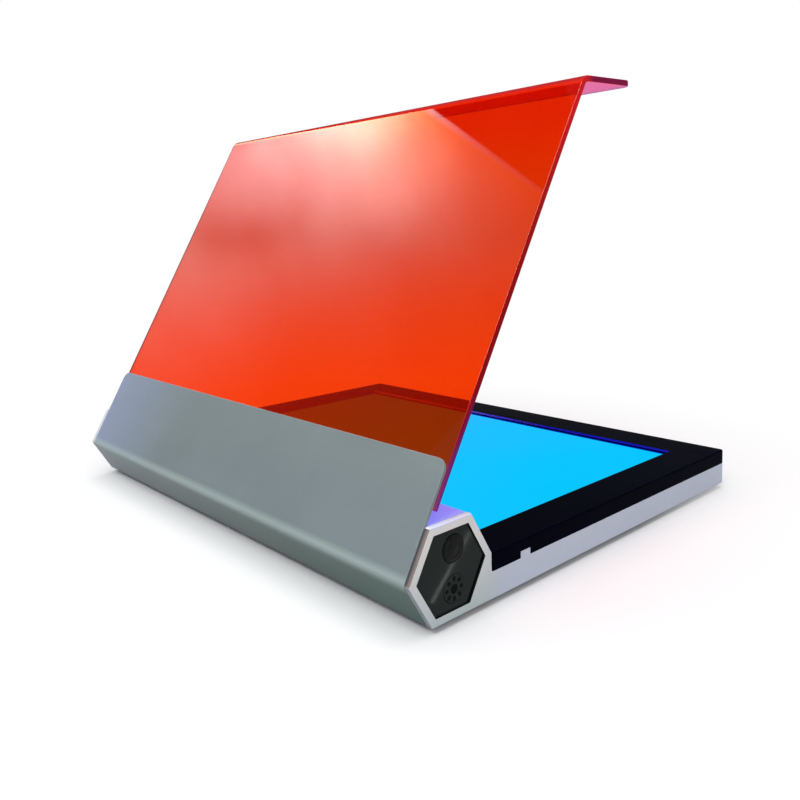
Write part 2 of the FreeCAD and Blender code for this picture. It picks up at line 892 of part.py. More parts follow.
# Pods: cups that close the hexagonal ends, carry the core tube and hold the stop lug
def pod(side, label):
    sign = 1 if side == "left" else -1
    body = end_body(label, side)
    inner = "(pod_radius - pod_wall)"
    ring_of(
        body,
        side,
        [
            ("0", inner),
            ("0", "flange_radius"),
            ("flange_thick", "flange_radius"),
            ("flange_thick", "pod_radius"),
            ("pod_depth + pod_floor", "pod_radius"),
            ("pod_depth + pod_floor", "hub_radius"),
            (HUB_END, "hub_radius"),
            (HUB_END, "core_radius + seat_play"),
            (CORE_END, "core_radius + seat_play"),
            (CORE_END, "core_radius - core_wall"),
            ("pod_depth", "core_radius - core_wall"),
            ("pod_depth", inner),
        ],
    )
    lug = sketch_on(body, "YZ_Plane", f"{sign} * (pod_depth + pod_floor)")
    outline(
        lug,
        sector(
            "(stop_radius / cos(stop_half_angle))",
            "pod_radius",
            "(90 - stop_half_angle)",
            "(90 + stop_half_angle)",
        ),
    )
    pad(body, lug, "(hub_length + spring_height + stop_depth)", reverse=sign < 0)
    return body


for side, label in (("left", "control_pod"), ("right", "inlet_pod")):
    pod(side, label)

# Bushes: pressed into the barrel, they turn on the core tube between stops
BUSH_START = f"({HUB_END} + spring_height + 2 * running_play)"
for side, _ in SIDES:
    sign = 1 if side == "left" else -1
    bush = end_body(f"bush_{side}", side)
    section = sketch_on(bush, "YZ_Plane", f"{sign} * {BUSH_START}")
    outline(section, faced_hexagon([f"({BORE_FLAT} - seat_play)"] * 6))
    disc(section, "0", "0", "(core_radius + running_play)")
    pad(bush, section, "bush_length", reverse=sign < 0)
    slot = sketch_on(bush, "YZ_Plane", f"{sign} * {BUSH_START}")
    first = "(90 - stop_half_angle - swing - stop_play)"
    last = "(90 + stop_half_angle + stop_play)"
    middle = f"(({first} + {last}) / 2)"
    near_radius = "(stop_radius - slot_play)"
    far_radius = "(hex_radius + slot_play)"
    bend = f"({near_radius} / cos(({last} - {first}) / 4))"
    reach = f"({far_radius} / cos(({last} - {first}) / 4))"
    outline(
        slot,
        [
            (f"{near_radius} * cos({first})", f"{near_radius} * sin({first})"),
            (f"{reach} * cos({first})", f"{reach} * sin({first})"),
            (f"{reach} * cos({middle})", f"{reach} * sin({middle})"),
            (f"{reach} * cos({last})", f"{reach} * sin({last})"),
            (f"{near_radius} * cos({last})", f"{near_radius} * sin({last})"),
            (f"{near_radius} * cos({middle})", f"{near_radius} * sin({middle})"),
        ],
    )
    pocket(bush, slot, "(stop_depth + slot_spare)", along=sign > 0)

# Disc springs: they press the bushes apart from the pods and give the hinge its friction
for side, _ in SIDES:
    spring = end_body(f"disc_spring_{side}", side)
    outer = "(hub_radius + spring_play)"
    inner = "(core_radius + spring_play)"
    near_hub = f"({HUB_END} + running_play)"
    ring_of(
        spring,
        side,
        [
            (near_hub, outer),
            (f"{near_hub} + spring_thick", outer),
            (f"{near_hub} + spring_height", inner),
            (f"{near_hub} + spring_height - spring_thick", inner),
        ],
    )

# Dark panels in the hexagonal ends, bonded on the pods' flanges
PANEL_RADIUS = "(opening_radius - panel_play)"


def end_panel(label, side, holes):
    """A hexagonal panel with round holes, each a place across, a height and a radius."""
    sign = 1 if side == "left" else -1
    body = end_body(label, side)
    face = sketch_on(body, "YZ_Plane")
    outline(face, hexagon(PANEL_RADIUS))
    for y, z, radius in holes:
        disc(face, y, z, radius)
    pad(body, face, "panel_thick", reverse=sign > 0)


BUTTON_HEIGHTS = {"power": "button_offset", "brightness": "(-button_offset)"}
BUTTON_ACROSS = "(-button_across)"
BUTTON_HOLE = "(button_radius + button_play)"
end_panel("control_panel", "left", [(BUTTON_ACROSS, z, BUTTON_HOLE) for z in BUTTON_HEIGHTS.values()])
NOSE_RADIUS = "(jack_radius - jack_nose_step)"
end_panel("inlet_panel", "right", [("0", "0", f"({NOSE_RADIUS} + seat_play)")])

# Guide discs behind the panels
GUIDE_RADIUS = "(pod_radius - pod_wall - seat_play)"
RIM_RADIUS = "(button_radius + button_rim)"
button_guide = end_body("button_guide", "left")
face = sketch_on(button_guide, "YZ_Plane")
disc(face, "0", "0", GUIDE_RADIUS)
for z in BUTTON_HEIGHTS.values():
    disc(face, BUTTON_ACROSS, z, f"({RIM_RADIUS} + running_play)")
pad(button_guide, face, "guide_thick")

JACK_FLANGE = "(jack_radius + jack_flange_step)"
JACK_FLANGE_THICK = "(guide_thick / 3)"
jack_guide = end_body("jack_guide", "right")
ring_of(
    jack_guide,
    "right",
    [
        ("0", f"{JACK_FLANGE} + seat_play"),
        ("0", GUIDE_RADIUS),
        ("guide_thick", GUIDE_RADIUS),
        ("guide_thick", "jack_radius + seat_play"),
        (JACK_FLANGE_THICK, "jack_radius + seat_play"),
        (JACK_FLANGE_THICK, f"{JACK_FLANGE} + seat_play"),
    ],
)

# Buttons, their plungers and the switches that they work
BUTTON_BACK = "(guide_thick + button_back)"
STEM_END = "(control_board_at - switch_height - button_travel - stem_gap)"
for name, z in BUTTON_HEIGHTS.items():
    at = {"y": at_y("button_across"), "z": at_z(z)}
    button = new_body(f"{name}_button", x=inward("left", "0"), **at)
    half_section = sketch_on(button, "XY_Plane")
    outline(
        half_section,
        [
            ("-panel_thick - button_proud", "0"),
            ("-panel_thick - button_proud", "button_radius"),
            ("button_seat", "button_radius"),
            ("button_seat", RIM_RADIUS),
            ("button_seat + button_flange", RIM_RADIUS),
            (BUTTON_BACK, "button_radius"),
            (BUTTON_BACK, "plunger_radius + stem_wall"),
            (STEM_END, "plunger_radius + stem_wall"),
            (STEM_END, "0"),
        ],
    )
    turned(button, half_section)
    plunger = new_body(f"{name}_plunger", x=inward("left", STEM_END), **at)
    rod_face = sketch_on(plunger, "YZ_Plane")
    disc(rod_face, "0", "0", "plunger_radius")
    pad(plunger, rod_face, "(stem_gap + button_travel + plunger_bite)")

switches = end_body("switches", "left")
bases = sketch_on(switches, "YZ_Plane", "control_board_at")
for z in BUTTON_HEIGHTS.values():
    rectangle(
        bases,
        f"{BUTTON_ACROSS} - switch_side / 2",
        f"{z} - switch_side / 2",
        f"{BUTTON_ACROSS} + switch_side / 2",
        f"{z} + switch_side / 2",
    )
pad(switches, bases, "switch_height", reverse=True)
wells = sketch_on(switches, "YZ_Plane", "(control_board_at - switch_height)")
for z in BUTTON_HEIGHTS.values():
    disc(wells, BUTTON_ACROSS, z, "(plunger_radius + running_play)")
pocket(switches, wells, "(plunger_bite + button_travel + well_spare)")

board = end_body("control_board", "left")
face = sketch_on(board, "YZ_Plane", "control_board_at")
disc(face, "0", "0", GUIDE_RADIUS)
pad(board, face, "board_thick")
BOARD_BACK = "(control_board_at + board_thick)"
node(
    box(
        inward("left", BOARD_BACK),
        at_y("connector_width / 2"),
        at_z("(-connector_height / 2)"),
        f"(pod_depth - {BOARD_BACK} - cable_spare)",
        "connector_width",
        "connector_height",
    ),
    "control_connector",
)

# DC jack in the right pod: body, centre pin and nut
BORE_END = "(jack_bore_depth - panel_thick)"
PIN_START = "(jack_pin_recess - panel_thick)"
jack = end_body("dc_jack", "right")
ring_of(
    jack,
    "right",
    [
        ("-panel_thick", "jack_bore"),
        ("-panel_thick", NOSE_RADIUS),
        ("0", NOSE_RADIUS),
        ("0", JACK_FLANGE),
        (JACK_FLANGE_THICK, JACK_FLANGE),
        (JACK_FLANGE_THICK, "jack_radius"),
        ("jack_length", "jack_radius"),
        ("jack_length", "0"),
        (BORE_END, "0"),
        (BORE_END, "jack_bore"),
    ],
)
pin = end_body("jack_pin", "right")
ring_of(
    pin,
    "right",
    [
        (PIN_START, "0"),
        (PIN_START, "jack_pin_radius - jack_pin_tip"),
        (f"{PIN_START} + jack_pin_tip", "jack_pin_radius"),
        (BORE_END, "jack_pin_radius"),
        (BORE_END, "0"),
    ],
)
nut = end_body("jack_nut", "right")
nut_face = sketch_on(nut, "YZ_Plane", "-guide_thick")
outline(nut_face, hexagon("(jack_nut_across / 2 / cos(30))"))
disc(nut_face, "0", "0", "(jack_radius + seat_play)")
pad(nut, nut_face, "jack_nut_thick", reverse=True)

# Supply cable through the core tube, from the jack to the control board
CABLE_START = "(pod_depth - cable_spare)"
node(
    rod(
        inward("left", CABLE_START),
        HINGE_Y,
        HINGE_Z,
        "cable_radius",
        f"2 * {INNER_HALF} - {CABLE_START} - jack_length",
        (1, 0, 0),
    ),
    "supply_cable",
)

# Every object must be sound before anything is written
doc.recompute()
for item in doc.Objects:
    if "Invalid" in item.State or "Error" in item.State:
        raise ValueError(f"{item.Name} of {item.Label}: {item.State}")
os.makedirs("parts", exist_ok=True)
for item in nodes:
    if item.Shape.isNull() or not item.Shape.isValid():
        raise ValueError(f"{item.Label} is not a sound shape")
    item.Shape.exportStep(f"parts/{item.Label}.step")
    print(f"{item.Label}: {len(item.Shape.Solids)} solid, {item.Shape.Volume / 1000:.2f} cm3")
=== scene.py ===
# %% [markdown]
# # A blue light transilluminator with a folding amber cover
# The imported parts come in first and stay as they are: each is a mesh at its real place, in metres, with
# +X along the hinge, +Z up and the user at -Y. Everything modelled below is dressed round them, so the
# places and sizes are read from the parts or worked out from the few values that shaped them.

# %% Load the fixed parts
import json
import math

import bmesh
import bpy
from mathutils import Matrix, Vector


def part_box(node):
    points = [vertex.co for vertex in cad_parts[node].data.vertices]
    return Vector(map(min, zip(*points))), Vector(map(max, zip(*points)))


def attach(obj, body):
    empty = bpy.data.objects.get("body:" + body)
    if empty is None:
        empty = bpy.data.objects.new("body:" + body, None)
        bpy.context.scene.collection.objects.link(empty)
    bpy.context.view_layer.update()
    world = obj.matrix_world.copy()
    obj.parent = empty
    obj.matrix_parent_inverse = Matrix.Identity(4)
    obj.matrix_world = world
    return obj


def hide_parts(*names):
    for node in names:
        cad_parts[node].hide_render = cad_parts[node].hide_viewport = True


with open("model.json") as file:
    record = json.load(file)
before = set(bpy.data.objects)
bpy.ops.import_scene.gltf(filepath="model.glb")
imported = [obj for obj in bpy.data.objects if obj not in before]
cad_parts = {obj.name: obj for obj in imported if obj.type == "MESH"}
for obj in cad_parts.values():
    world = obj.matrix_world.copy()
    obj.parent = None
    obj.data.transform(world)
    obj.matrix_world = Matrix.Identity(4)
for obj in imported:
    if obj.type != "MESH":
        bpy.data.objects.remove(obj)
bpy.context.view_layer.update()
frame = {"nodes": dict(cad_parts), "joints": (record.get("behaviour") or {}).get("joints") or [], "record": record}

parts = frame["nodes"]

# %% [markdown]
# ## Measures
# One value per real dimension. The hinge axis is where the six-sided ends have their centre, and most
# pieces are laid out from it, as the maker would.

# %% Measures of the real unit
MM = 0.001
HEX_RADIUS = 24 * MM
HEX_FLAT = HEX_RADIUS * math.cos(math.radians(30))
OPENING_RADIUS = 20 * MM
PLATE = 3 * MM
SHEET = 1.5 * MM
SHEET_REACH = 52 * MM
SHEET_TAIL = 23.7 * MM
SHEET_CORNER = 5 * MM
SHEET_BEND = 2.5 * MM
TAPE = 0.2 * MM
AMBER = 3 * MM
AMBER_START = 31.3 * MM
AMBER_REACH = 239.4 * MM
LIP_LENGTH = 40 * MM
LIP_TURN = math.radians(58)
LIP_RADIUS = 6 * MM
LIP_CORNER = 5 * MM
FRAME_HEIGHT = 8 * MM
FRAME_ROOF = 1.8 * MM
FRAME_CORNER = 2.5 * MM
WINDOW_CHAMFER = 0.9 * MM
FINE_EDGE = 0.25 * MM

hinge = [joint for joint in frame["joints"] if joint["name"] == "cover_hinge"][0]
HINGE_Y, HINGE_Z = hinge["pos_m"][1], hinge["pos_m"][2]
frame_low, frame_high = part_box("frame")
HALF_WIDTH = frame_high.x
FRONT_Y = frame_low.y
SPLIT_Z = frame_high.z - FRAME_HEIGHT
COVER_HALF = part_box("cover_sheet")[1].x
glass_low, glass_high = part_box("window_glass")
GLASS_OVERLAP = 4 * MM
window_low = Vector((glass_low.x + GLASS_OVERLAP, glass_low.y + GLASS_OVERLAP, glass_high.z))
window_high = Vector((glass_high.x - GLASS_OVERLAP, glass_high.y - GLASS_OVERLAP, glass_high.z))
print("hinge axis at y", round(HINGE_Y * 1000, 2), "z", round(HINGE_Z * 1000, 2), "mm")
print("window", [round(side * 1000, 1) for side in (window_high - window_low)[:2]], "mm")

# %% [markdown]
# ## Camera
# The photographer stood behind the unit at its left end and a little above the table, with a short lens
# close to the hexagonal end. The four values were found by matching corners of the real thing, and the
# frame is cropped off centre, which is what the lens shift says.

# %% Camera
YAW = math.radians(227.272)
PITCH = math.radians(6.7515)
ROLL = math.radians(-1.6642)
FOCAL_PIXELS = 785.2
FRAME_PIXELS = 800
CENTRE_PIXEL = (416.974, 321.877)
SENSOR = 36.0

backward = Vector((math.sin(YAW) * math.cos(PITCH), -math.cos(YAW) * math.cos(PITCH), math.sin(PITCH)))
level_right = (-backward).cross(Vector((0, 0, 1))).normalized()
level_up = level_right.cross(-backward)
right = math.cos(ROLL) * level_right + math.sin(ROLL) * level_up
upward = math.cos(ROLL) * level_up - math.sin(ROLL) * level_right
lens = bpy.data.cameras.new("photo_camera")
lens.sensor_width = SENSOR
lens.lens = FOCAL_PIXELS / FRAME_PIXELS * SENSOR
lens.shift_x = (FRAME_PIXELS / 2 - CENTRE_PIXEL[0]) / FRAME_PIXELS
lens.shift_y = (CENTRE_PIXEL[1] - FRAME_PIXELS / 2) / FRAME_PIXELS
lens.clip_start = 0.01
camera = bpy.data.objects.new("photo_camera", lens)
bpy.context.scene.collection.objects.link(camera)
camera.matrix_world = Matrix((right, upward, backward)).transposed().to_4x4()
camera.matrix_world.translation = Vector((-0.37694, 0.320745, 0.161764))
bpy.context.scene.camera = camera
bpy.context.scene.view_settings.view_transform = "Standard"
print("lens", round(lens.lens, 2), "mm, shift", round(lens.shift_x, 4), round(lens.shift_y, 4))

# %% [markdown]
# ## Tools for modelling
# The same few moves are made for every piece, so they are written once: add a primitive and keep its
# place in its mesh, pick vertices, edges or faces by where they are, pull, move and round them, and
# apply a modifier. Picking by place instead of by number keeps working when a size changes.


# %% Start a piece
def deselect():
    """Leaves edit mode and lets go of everything."""
    if bpy.context.object and bpy.context.object.mode == "EDIT":
        bpy.ops.object.mode_set(mode="OBJECT")
    bpy.ops.object.select_all(action="DESELECT")


def start(name, add, **settings):
    """Adds a primitive and opens it in edit mode, its object at the origin and nothing picked."""
    deselect()
    add(**settings)
    piece = bpy.context.object
    piece.name = name
    piece.data.name = name
    bpy.ops.object.transform_apply(location=True, rotation=True, scale=True)
    bpy.ops.object.mode_set(mode="EDIT")
    bpy.ops.mesh.select_all(action="DESELECT")
    return piece


# %% Pick by place
def middle(item):
    """The middle of a vertex, an edge or a face."""
    corners = [item] if isinstance(item, bmesh.types.BMVert) else list(item.verts)
    return sum((corner.co for corner in corners), Vector()) / len(corners)


def near(a, b, room=0.00002):
    """Whether two lengths are the same within a fiftieth of a millimetre."""
    return abs(a - b) < room


def pick(kind, wanted):
    """Picks only the vertices, edges or faces that pass a test and gives their number."""
    mesh = bpy.context.object.data
    bpy.ops.mesh.select_mode(type=kind)
    bpy.ops.mesh.select_all(action="DESELECT")
    shape = bmesh.from_edit_mesh(mesh)
    items = {"VERT": shape.verts, "EDGE": shape.edges, "FACE": shape.faces}[kind]
    picked = [item for item in items if wanted(item)]
    for item in picked:
        item.select_set(True)
    shape.select_flush_mode()
    bmesh.update_edit_mesh(mesh)
    if not picked:
        raise ValueError(f"{bpy.context.object.name}: nothing picked")
    return len(picked)


# %% Pull, move and round
def pull(x=0.0, y=0.0, z=0.0):
    """Extrudes what is picked and leaves the new end picked."""
    bpy.ops.mesh.extrude_region_move(TRANSFORM_OT_translate={"value": (x, y, z)})


def pull_edges(x=0.0, y=0.0, z=0.0):
    """The same for a border, whose face stays where it is."""
    bpy.ops.mesh.extrude_edges_move(TRANSFORM_OT_translate={"value": (x, y, z)})


def move(x=0.0, y=0.0, z=0.0):
    bpy.ops.transform.translate(value=(x, y, z))


def round_off(width, segments, corners=False):
    """Bevels the picked edges, or the picked corners of a flat sheet."""
    bpy.ops.mesh.bevel(
        offset_type="OFFSET",
        offset=width,
        segments=segments,
        affect="VERTICES" if corners else "EDGES",
        clamp_overlap=False,
    )


def face_towards(direction):
    """Points the faces of an open sheet the same way: its best placed face looks along a direction."""
    bpy.ops.mesh.select_all(action="SELECT")
    bpy.ops.mesh.normals_make_consistent(inside=False)
    way = Vector(direction)
    shape = bmesh.from_edit_mesh(bpy.context.object.data)
    shape.normal_update()
    best = max(shape.faces, key=lambda face: abs(face.normal.dot(way)))
    if best.normal.dot(way) < 0:
        bpy.ops.mesh.flip_normals()


def outside_out():
    """Merges doubles and points every face of a closed piece outwards."""
    bpy.ops.mesh.select_all(action="SELECT")
    bpy.ops.mesh.remove_doubles(threshold=0.000005)
    bpy.ops.mesh.normals_make_consistent(inside=False)


# %% Modifiers
def apply_modifier(piece, kind, **settings):
    """Adds a modifier, sets it up and applies it."""
    if piece.mode == "EDIT":
        bpy.ops.object.mode_set(mode="OBJECT")
    bpy.ops.object.modifier_add(type=kind)
    modifier = piece.modifiers[-1]
    for setting, value in settings.items():
        setattr(modifier, setting, value)
    bpy.ops.object.modifier_apply(modifier=modifier.name)


def thicken(piece, thickness, rim_material=0):
    """Gives an open sheet its thickness on the side that its faces look away from."""
    apply_modifier(
        piece,
        "SOLIDIFY",
        thickness=thickness,
        offset=-1,
        use_even_offset=True,
        material_offset_rim=rim_material,
    )


def soften(piece, width=FINE_EDGE, segments=2, angle=35):
    """Takes the sharpness off every edge that turns by more than an angle."""
    apply_modifier(
        piece,
        "BEVEL",
        width=width,
        segments=segments,
        limit_method="ANGLE",
        angle_limit=math.radians(angle),
        use_clamp_overlap=True,
        harden_normals=False,
    )


# %% Finish a piece
dressed = {}


def finish(piece, body, slot, *stands_for, smooth=30):
    """Smooths the shading, hands the piece to its body and says what it stands for."""
    deselect()
    piece.select_set(True)
    bpy.context.view_layer.objects.active = piece
    bpy.ops.object.shade_smooth_by_angle(angle=math.radians(smooth))
    apply_modifier(piece, "WEIGHTED_NORMAL", mode="FACE_AREA", weight=100, keep_sharp=True)
    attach(piece, body)
    if stands_for:
        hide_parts(*stands_for)
    dressed.setdefault(slot, []).append(piece)
    low, high = piece_box(piece)
    sides = [round((b - a) * 1000, 2) for a, b in zip(low, high)]
    print(f"{piece.name}: {len(piece.data.polygons)} faces, {sides} mm")
    for node in stands_for[:1]:
        node_low, node_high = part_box(node)
        gap = max(max(abs(low[i] - node_low[i]), abs(high[i] - node_high[i])) for i in range(3))
        print(f"    box against {node}: {gap * 1000:.2f} mm")
    return piece


def piece_box(piece):
    """The lowest and highest corner of a piece."""
    points = [vertex.co for vertex in piece.data.vertices]
    low = Vector([min(point[i] for point in points) for i in range(3)])
    high = Vector([max(point[i] for point in points) for i in range(3)])
    return low, high


# %% [markdown]
# ## Cover sheet
# The grey part of the cover is one aluminium sheet, 1.5 mm thick, folded once over the rear corner of
# the hexagon. A bent sheet is best modelled as the press brake makes it: its outer skin is drawn as a
# flat strip, pulled round the bend, its two free corners are rounded, and only then it gets thickness.


# %% Points on the cover's section
def on_section(along, depth, face=1):
    """A point of the upper (1) or lower (-1) rear face, from the bend and in from the skin."""
    y = HINGE_Y + HEX_RADIUS - along * math.cos(math.radians(60)) - depth * math.cos(math.radians(30))
    z = HINGE_Z + face * (along * math.sin(math.radians(60)) - depth * math.sin(math.radians(30)))
    return Vector((0, y, z))


def straight_edge(name, at, half_length):
    """A single edge along X: a flat square loses two corners and is moved to its place."""
    piece = start(name, bpy.ops.mesh.primitive_plane_add, size=2 * half_length)
    pick("VERT", lambda v: v.co.y > 0)
    bpy.ops.mesh.delete(type="VERT")
    pick("VERT", lambda v: True)
    move(y=at.y + half_length, z=at.z)
    return piece


# %% Cover sheet
sheet_top = on_section(SHEET_REACH, 0)
sheet_bend = on_section(0, 0)
sheet_end = on_section(SHEET_TAIL, 0, -1)
cover_sheet = straight_edge("cover_sheet_bent", sheet_top, COVER_HALF)
pull(*(sheet_bend - sheet_top))
pull(*(sheet_end - sheet_bend))
face_towards((0, 1, 0))
pick("VERT", lambda v: near(v.co.z, sheet_top.z))
round_off(SHEET_CORNER, 8, corners=True)
thicken(cover_sheet, SHEET)
bpy.ops.object.mode_set(mode="EDIT")
inner_bend = sheet_bend - Vector((0, SHEET / math.cos(math.radians(30)), 0))
for corner, radius in ((inner_bend, SHEET_BEND - SHEET), (sheet_bend, SHEET_BEND)):
    pick("EDGE", lambda e: all(near(v.co.y, corner.y) and near(v.co.z, corner.z) for v in e.verts))
    round_off(radius * math.tan(math.radians(30)), 8)
outside_out()
soften(cover_sheet, 0.2 * MM)
finish(cover_sheet, "cover", "blasted_aluminium", "cover_sheet")

# %% [markdown]
# ## Amber filter
# The filter is a sheet of cast acrylic, 3 mm thick, heated along one line and folded into a lip that
# covers the front when it is shut. It is modelled like the metal sheet, but the fold is drawn with a
# real radius before the thickness, because the inside of a heated fold stays round. The saw cut edges
# get a second material: light that travels inside the sheet comes out there.

# %% Amber filter
AMBER_DEPTH = SHEET + TAPE
amber_low = on_section(AMBER_START, AMBER_DEPTH)
amber_fold = on_section(AMBER_REACH, AMBER_DEPTH)
lip_way = math.radians(120) + LIP_TURN
lip_tip = amber_fold + LIP_LENGTH * Vector((0, math.cos(lip_way), math.sin(lip_way)))
amber_filter = straight_edge("amber_filter_plate", amber_low, COVER_HALF)
pull(*(amber_fold - amber_low))
pull(*(lip_tip - amber_fold))
face_towards((0, 1, 0.5))
pick("EDGE", lambda e: all(near(v.co.y, amber_fold.y) and near(v.co.z, amber_fold.z) for v in e.verts))
round_off(LIP_RADIUS * math.tan(LIP_TURN / 2), 12)
pick("VERT", lambda v: near(v.co.y, lip_tip.y) and near(v.co.z, lip_tip.z))
round_off(LIP_CORNER, 8, corners=True)
for _ in range(2):
    amber_filter.data.materials.append(None)
thicken(amber_filter, AMBER, rim_material=1)
bpy.ops.object.mode_set(mode="EDIT")
outside_out()
soften(amber_filter, 0.5 * MM, 3)
finish(amber_filter, "cover", "amber_acrylic", "amber_filter")

# %% [markdown]
# ## Barrel of the hinge
# Between the side plates turns a six-sided aluminium extrusion. Two of its faces lie level with the
# cover sheet and stay in view beside the window; the others are set back for the sheet and its tape. A
# six-sided bar, cut along planes, gives exactly that section.


# %% Barrel
def flat_normal(degrees):
    """The direction that a face of the hexagon looks in."""
    return Vector((0, math.cos(math.radians(degrees)), math.sin(math.radians(degrees))))


AXIS_POINT = Vector((0, HINGE_Y, HINGE_Z))
FACE_PLAY = 0.15 * MM
BARREL_WALL = 2 * MM
full_flat = HEX_FLAT - FACE_PLAY
recessed_flat = HEX_FLAT - SHEET - TAPE
bore_radius = (recessed_flat - BARREL_WALL) / math.cos(math.radians(30))
barrel = start(
    "barrel_extrusion",
    bpy.ops.mesh.primitive_cylinder_add,
    vertices=6,
    radius=full_flat / math.cos(math.radians(30)),
    depth=2 * COVER_HALF,
    location=AXIS_POINT,
    rotation=(0, math.radians(90), 0),
)
for degrees in (30, 210, 270, 330):
    bpy.ops.mesh.select_all(action="SELECT")
    bpy.ops.mesh.bisect(
        plane_co=AXIS_POINT + recessed_flat * flat_normal(degrees),
        plane_no=flat_normal(degrees),
        use_fill=True,
        clear_outer=True,
    )
outside_out()
soften(barrel, 0.3 * MM, 3)
deselect()


def cut_with(piece, cutter, operation="DIFFERENCE"):
    """Takes a cutter's shape out of a piece, or joins it on, and throws the cutter away."""
    deselect()
    piece.select_set(True)
    bpy.context.view_layer.objects.active = piece
    apply_modifier(piece, "BOOLEAN", operation=operation, solver="EXACT", object=cutter)
    bpy.data.objects.remove(cutter)


bore = start(
    "bore_cutter",
    bpy.ops.mesh.primitive_cylinder_add,
    vertices=6,
    radius=bore_radius,
    depth=2.2 * COVER_HALF,
    location=AXIS_POINT,
    rotation=(0, math.radians(90), 0),
)
cut_with(barrel, bore)
FLANGE_RADIUS = 18.5 * MM
FLANGE_DEPTH = 1.5 * MM
for end in (-1, 1):
    mouth = start(
        "mouth_cutter",
        bpy.ops.mesh.primitive_cylinder_add,
        vertices=64,
        radius=FLANGE_RADIUS,
        depth=2 * FLANGE_DEPTH,
        location=AXIS_POINT + Vector((end * COVER_HALF, 0, 0)),
        rotation=(0, math.radians(90), 0),
    )
    cut_with(barrel, mouth)
finish(barrel, "cover", "silver_aluminium", "hinge_barrel")

# %% [markdown]
# ## Side plates
# Each end is one laser-cut plate: a hexagonal ring that carries the hinge, and a bar that runs forward
# under the black frame, with a small tab that locks into it. It is drawn as the cutter drives round it:
# a hexagon with an inset opening, then the bar and the tab pulled out of its edges.


# %% Side plates
TAB_START = 43.2 * MM
TAB_END = 50 * MM
TAB_HEIGHT = 3 * MM
PLATE_LOW_Z = HINGE_Z - HEX_FLAT


def side_plate(name, side, node):
    """A painted plate with its opening; side is -1 for the left one."""
    outer_x = side * HALF_WIDTH
    piece = start(
        name,
        bpy.ops.mesh.primitive_circle_add,
        vertices=6,
        radius=HEX_RADIUS,
        fill_type="NGON",
        location=(outer_x, HINGE_Y, HINGE_Z),
        rotation=(0, math.radians(90), 0),
    )
    pick("FACE", lambda f: True)
    bpy.ops.mesh.inset(thickness=(HEX_RADIUS - OPENING_RADIUS) * math.cos(math.radians(30)))
    bpy.ops.mesh.delete(type="FACE")
    corner_y = HINGE_Y - HEX_RADIUS
    low_corner_y = HINGE_Y - HEX_RADIUS / 2
    pick(
        "EDGE",
        lambda e: min(v.co.y for v in e.verts) < corner_y + MM
        and near(max(v.co.y for v in e.verts), low_corner_y)
        and middle(e).z < HINGE_Z
        and near(min(v.co.z for v in e.verts), PLATE_LOW_Z),
    )
    pull(z=SPLIT_Z - HINGE_Z)
    pick("VERT", lambda v: v.co.z < PLATE_LOW_Z - MM)
    move(y=corner_y - low_corner_y, z=HINGE_Z - SPLIT_Z)
    for reach, before in ((TAB_START, HEX_RADIUS), (TAB_END, TAB_START), (HINGE_Y - FRONT_Y, TAB_END)):
        pick("EDGE", lambda e: all(near(v.co.y, HINGE_Y - before) and v.co.z < SPLIT_Z + MM for v in e.verts))
        pull(y=before - reach)
    pick(
        "EDGE",
        lambda e: near(middle(e).y, HINGE_Y - (TAB_START + TAB_END) / 2) and near(middle(e).z, SPLIT_Z),
    )
    pull(z=TAB_HEIGHT)
    outside_out()
    face_towards((side, 0, 0))
    for _ in range(3):
        piece.data.materials.append(None)
    thicken(piece, PLATE, rim_material=1)
    bpy.ops.object.mode_set(mode="EDIT")
    outside_out()
    pick("EDGE", lambda e: all(near(v.co.y, FRONT_Y) and near(v.co.x, outer_x) for v in e.verts))
    round_off(FRAME_CORNER, 6)
    in_opening = OPENING_RADIUS * math.cos(math.radians(30))
    # The wall of the opening takes the third slot, black: painted shade inside the recess
    pick(
        "FACE",
        lambda f: abs(f.normal.x) < 0.1
        and near((Vector((0, middle(f).y, middle(f).z)) - AXIS_POINT).length, in_opening),
    )
    piece.active_material_index = 2
    bpy.ops.object.material_slot_assign()
    # Cut edges that face up take the white paint; the other cut edges keep the greyer second slot, painted shade
    pick("FACE", lambda f: f.material_index == 1 and f.normal.z > 0.9)
    piece.active_material_index = 0
    bpy.ops.object.material_slot_assign()
    pick(
        "EDGE",
        lambda e: e.is_manifold
        and e.calc_face_angle(0) > math.radians(35)
        and all((Vector((0, v.co.y, v.co.z)) - AXIS_POINT).length > in_opening + 3 * MM for v in e.verts),
    )
    round_off(0.4 * MM, 3)
    outside_out()
    return finish(piece, "base", "white_paint", node)


side_plate_left = side_plate("side_plate_left_cut", -1, "side_plate_left")
side_plate_right = side_plate("side_plate_right_cut", 1, "side_plate_right")

# %% [markdown]
# ## Base tray
# The white band under the black frame is a folded pan that closes the bottom and the front. A plane is
# drawn at its underside, its border is pulled up into walls, and it gets its thickness inwards.

# %% Base tray
TRAY_WALL = 1.5 * MM
tray_low, tray_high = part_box("base_tray")
tray = start(
    "base_tray_pan",
    bpy.ops.mesh.primitive_plane_add,
    size=1,
    location=(0, (tray_low.y + tray_high.y) / 2, tray_low.z),
)
bpy.ops.mesh.select_all(action="SELECT")
bpy.ops.transform.resize(
    value=(tray_high.x - tray_low.x, tray_high.y - tray_low.y, 1),
    center_override=(0, (tray_low.y + tray_high.y) / 2, tray_low.z),
)
pick("EDGE", lambda e: e.is_boundary)
pull_edges(z=tray_high.z - tray_low.z)
pick("EDGE", lambda e: all(near(v.co.z, tray_low.z) and near(v.co.y, tray_low.y) for v in e.verts))
round_off(0.8 * MM, 4)
face_towards((0, 0, -1))
thicken(tray, TRAY_WALL)
bpy.ops.object.mode_set(mode="EDIT")
outside_out()
soften(tray, 0.15 * MM)
finish(tray, "base", "white_paint", "base_tray")
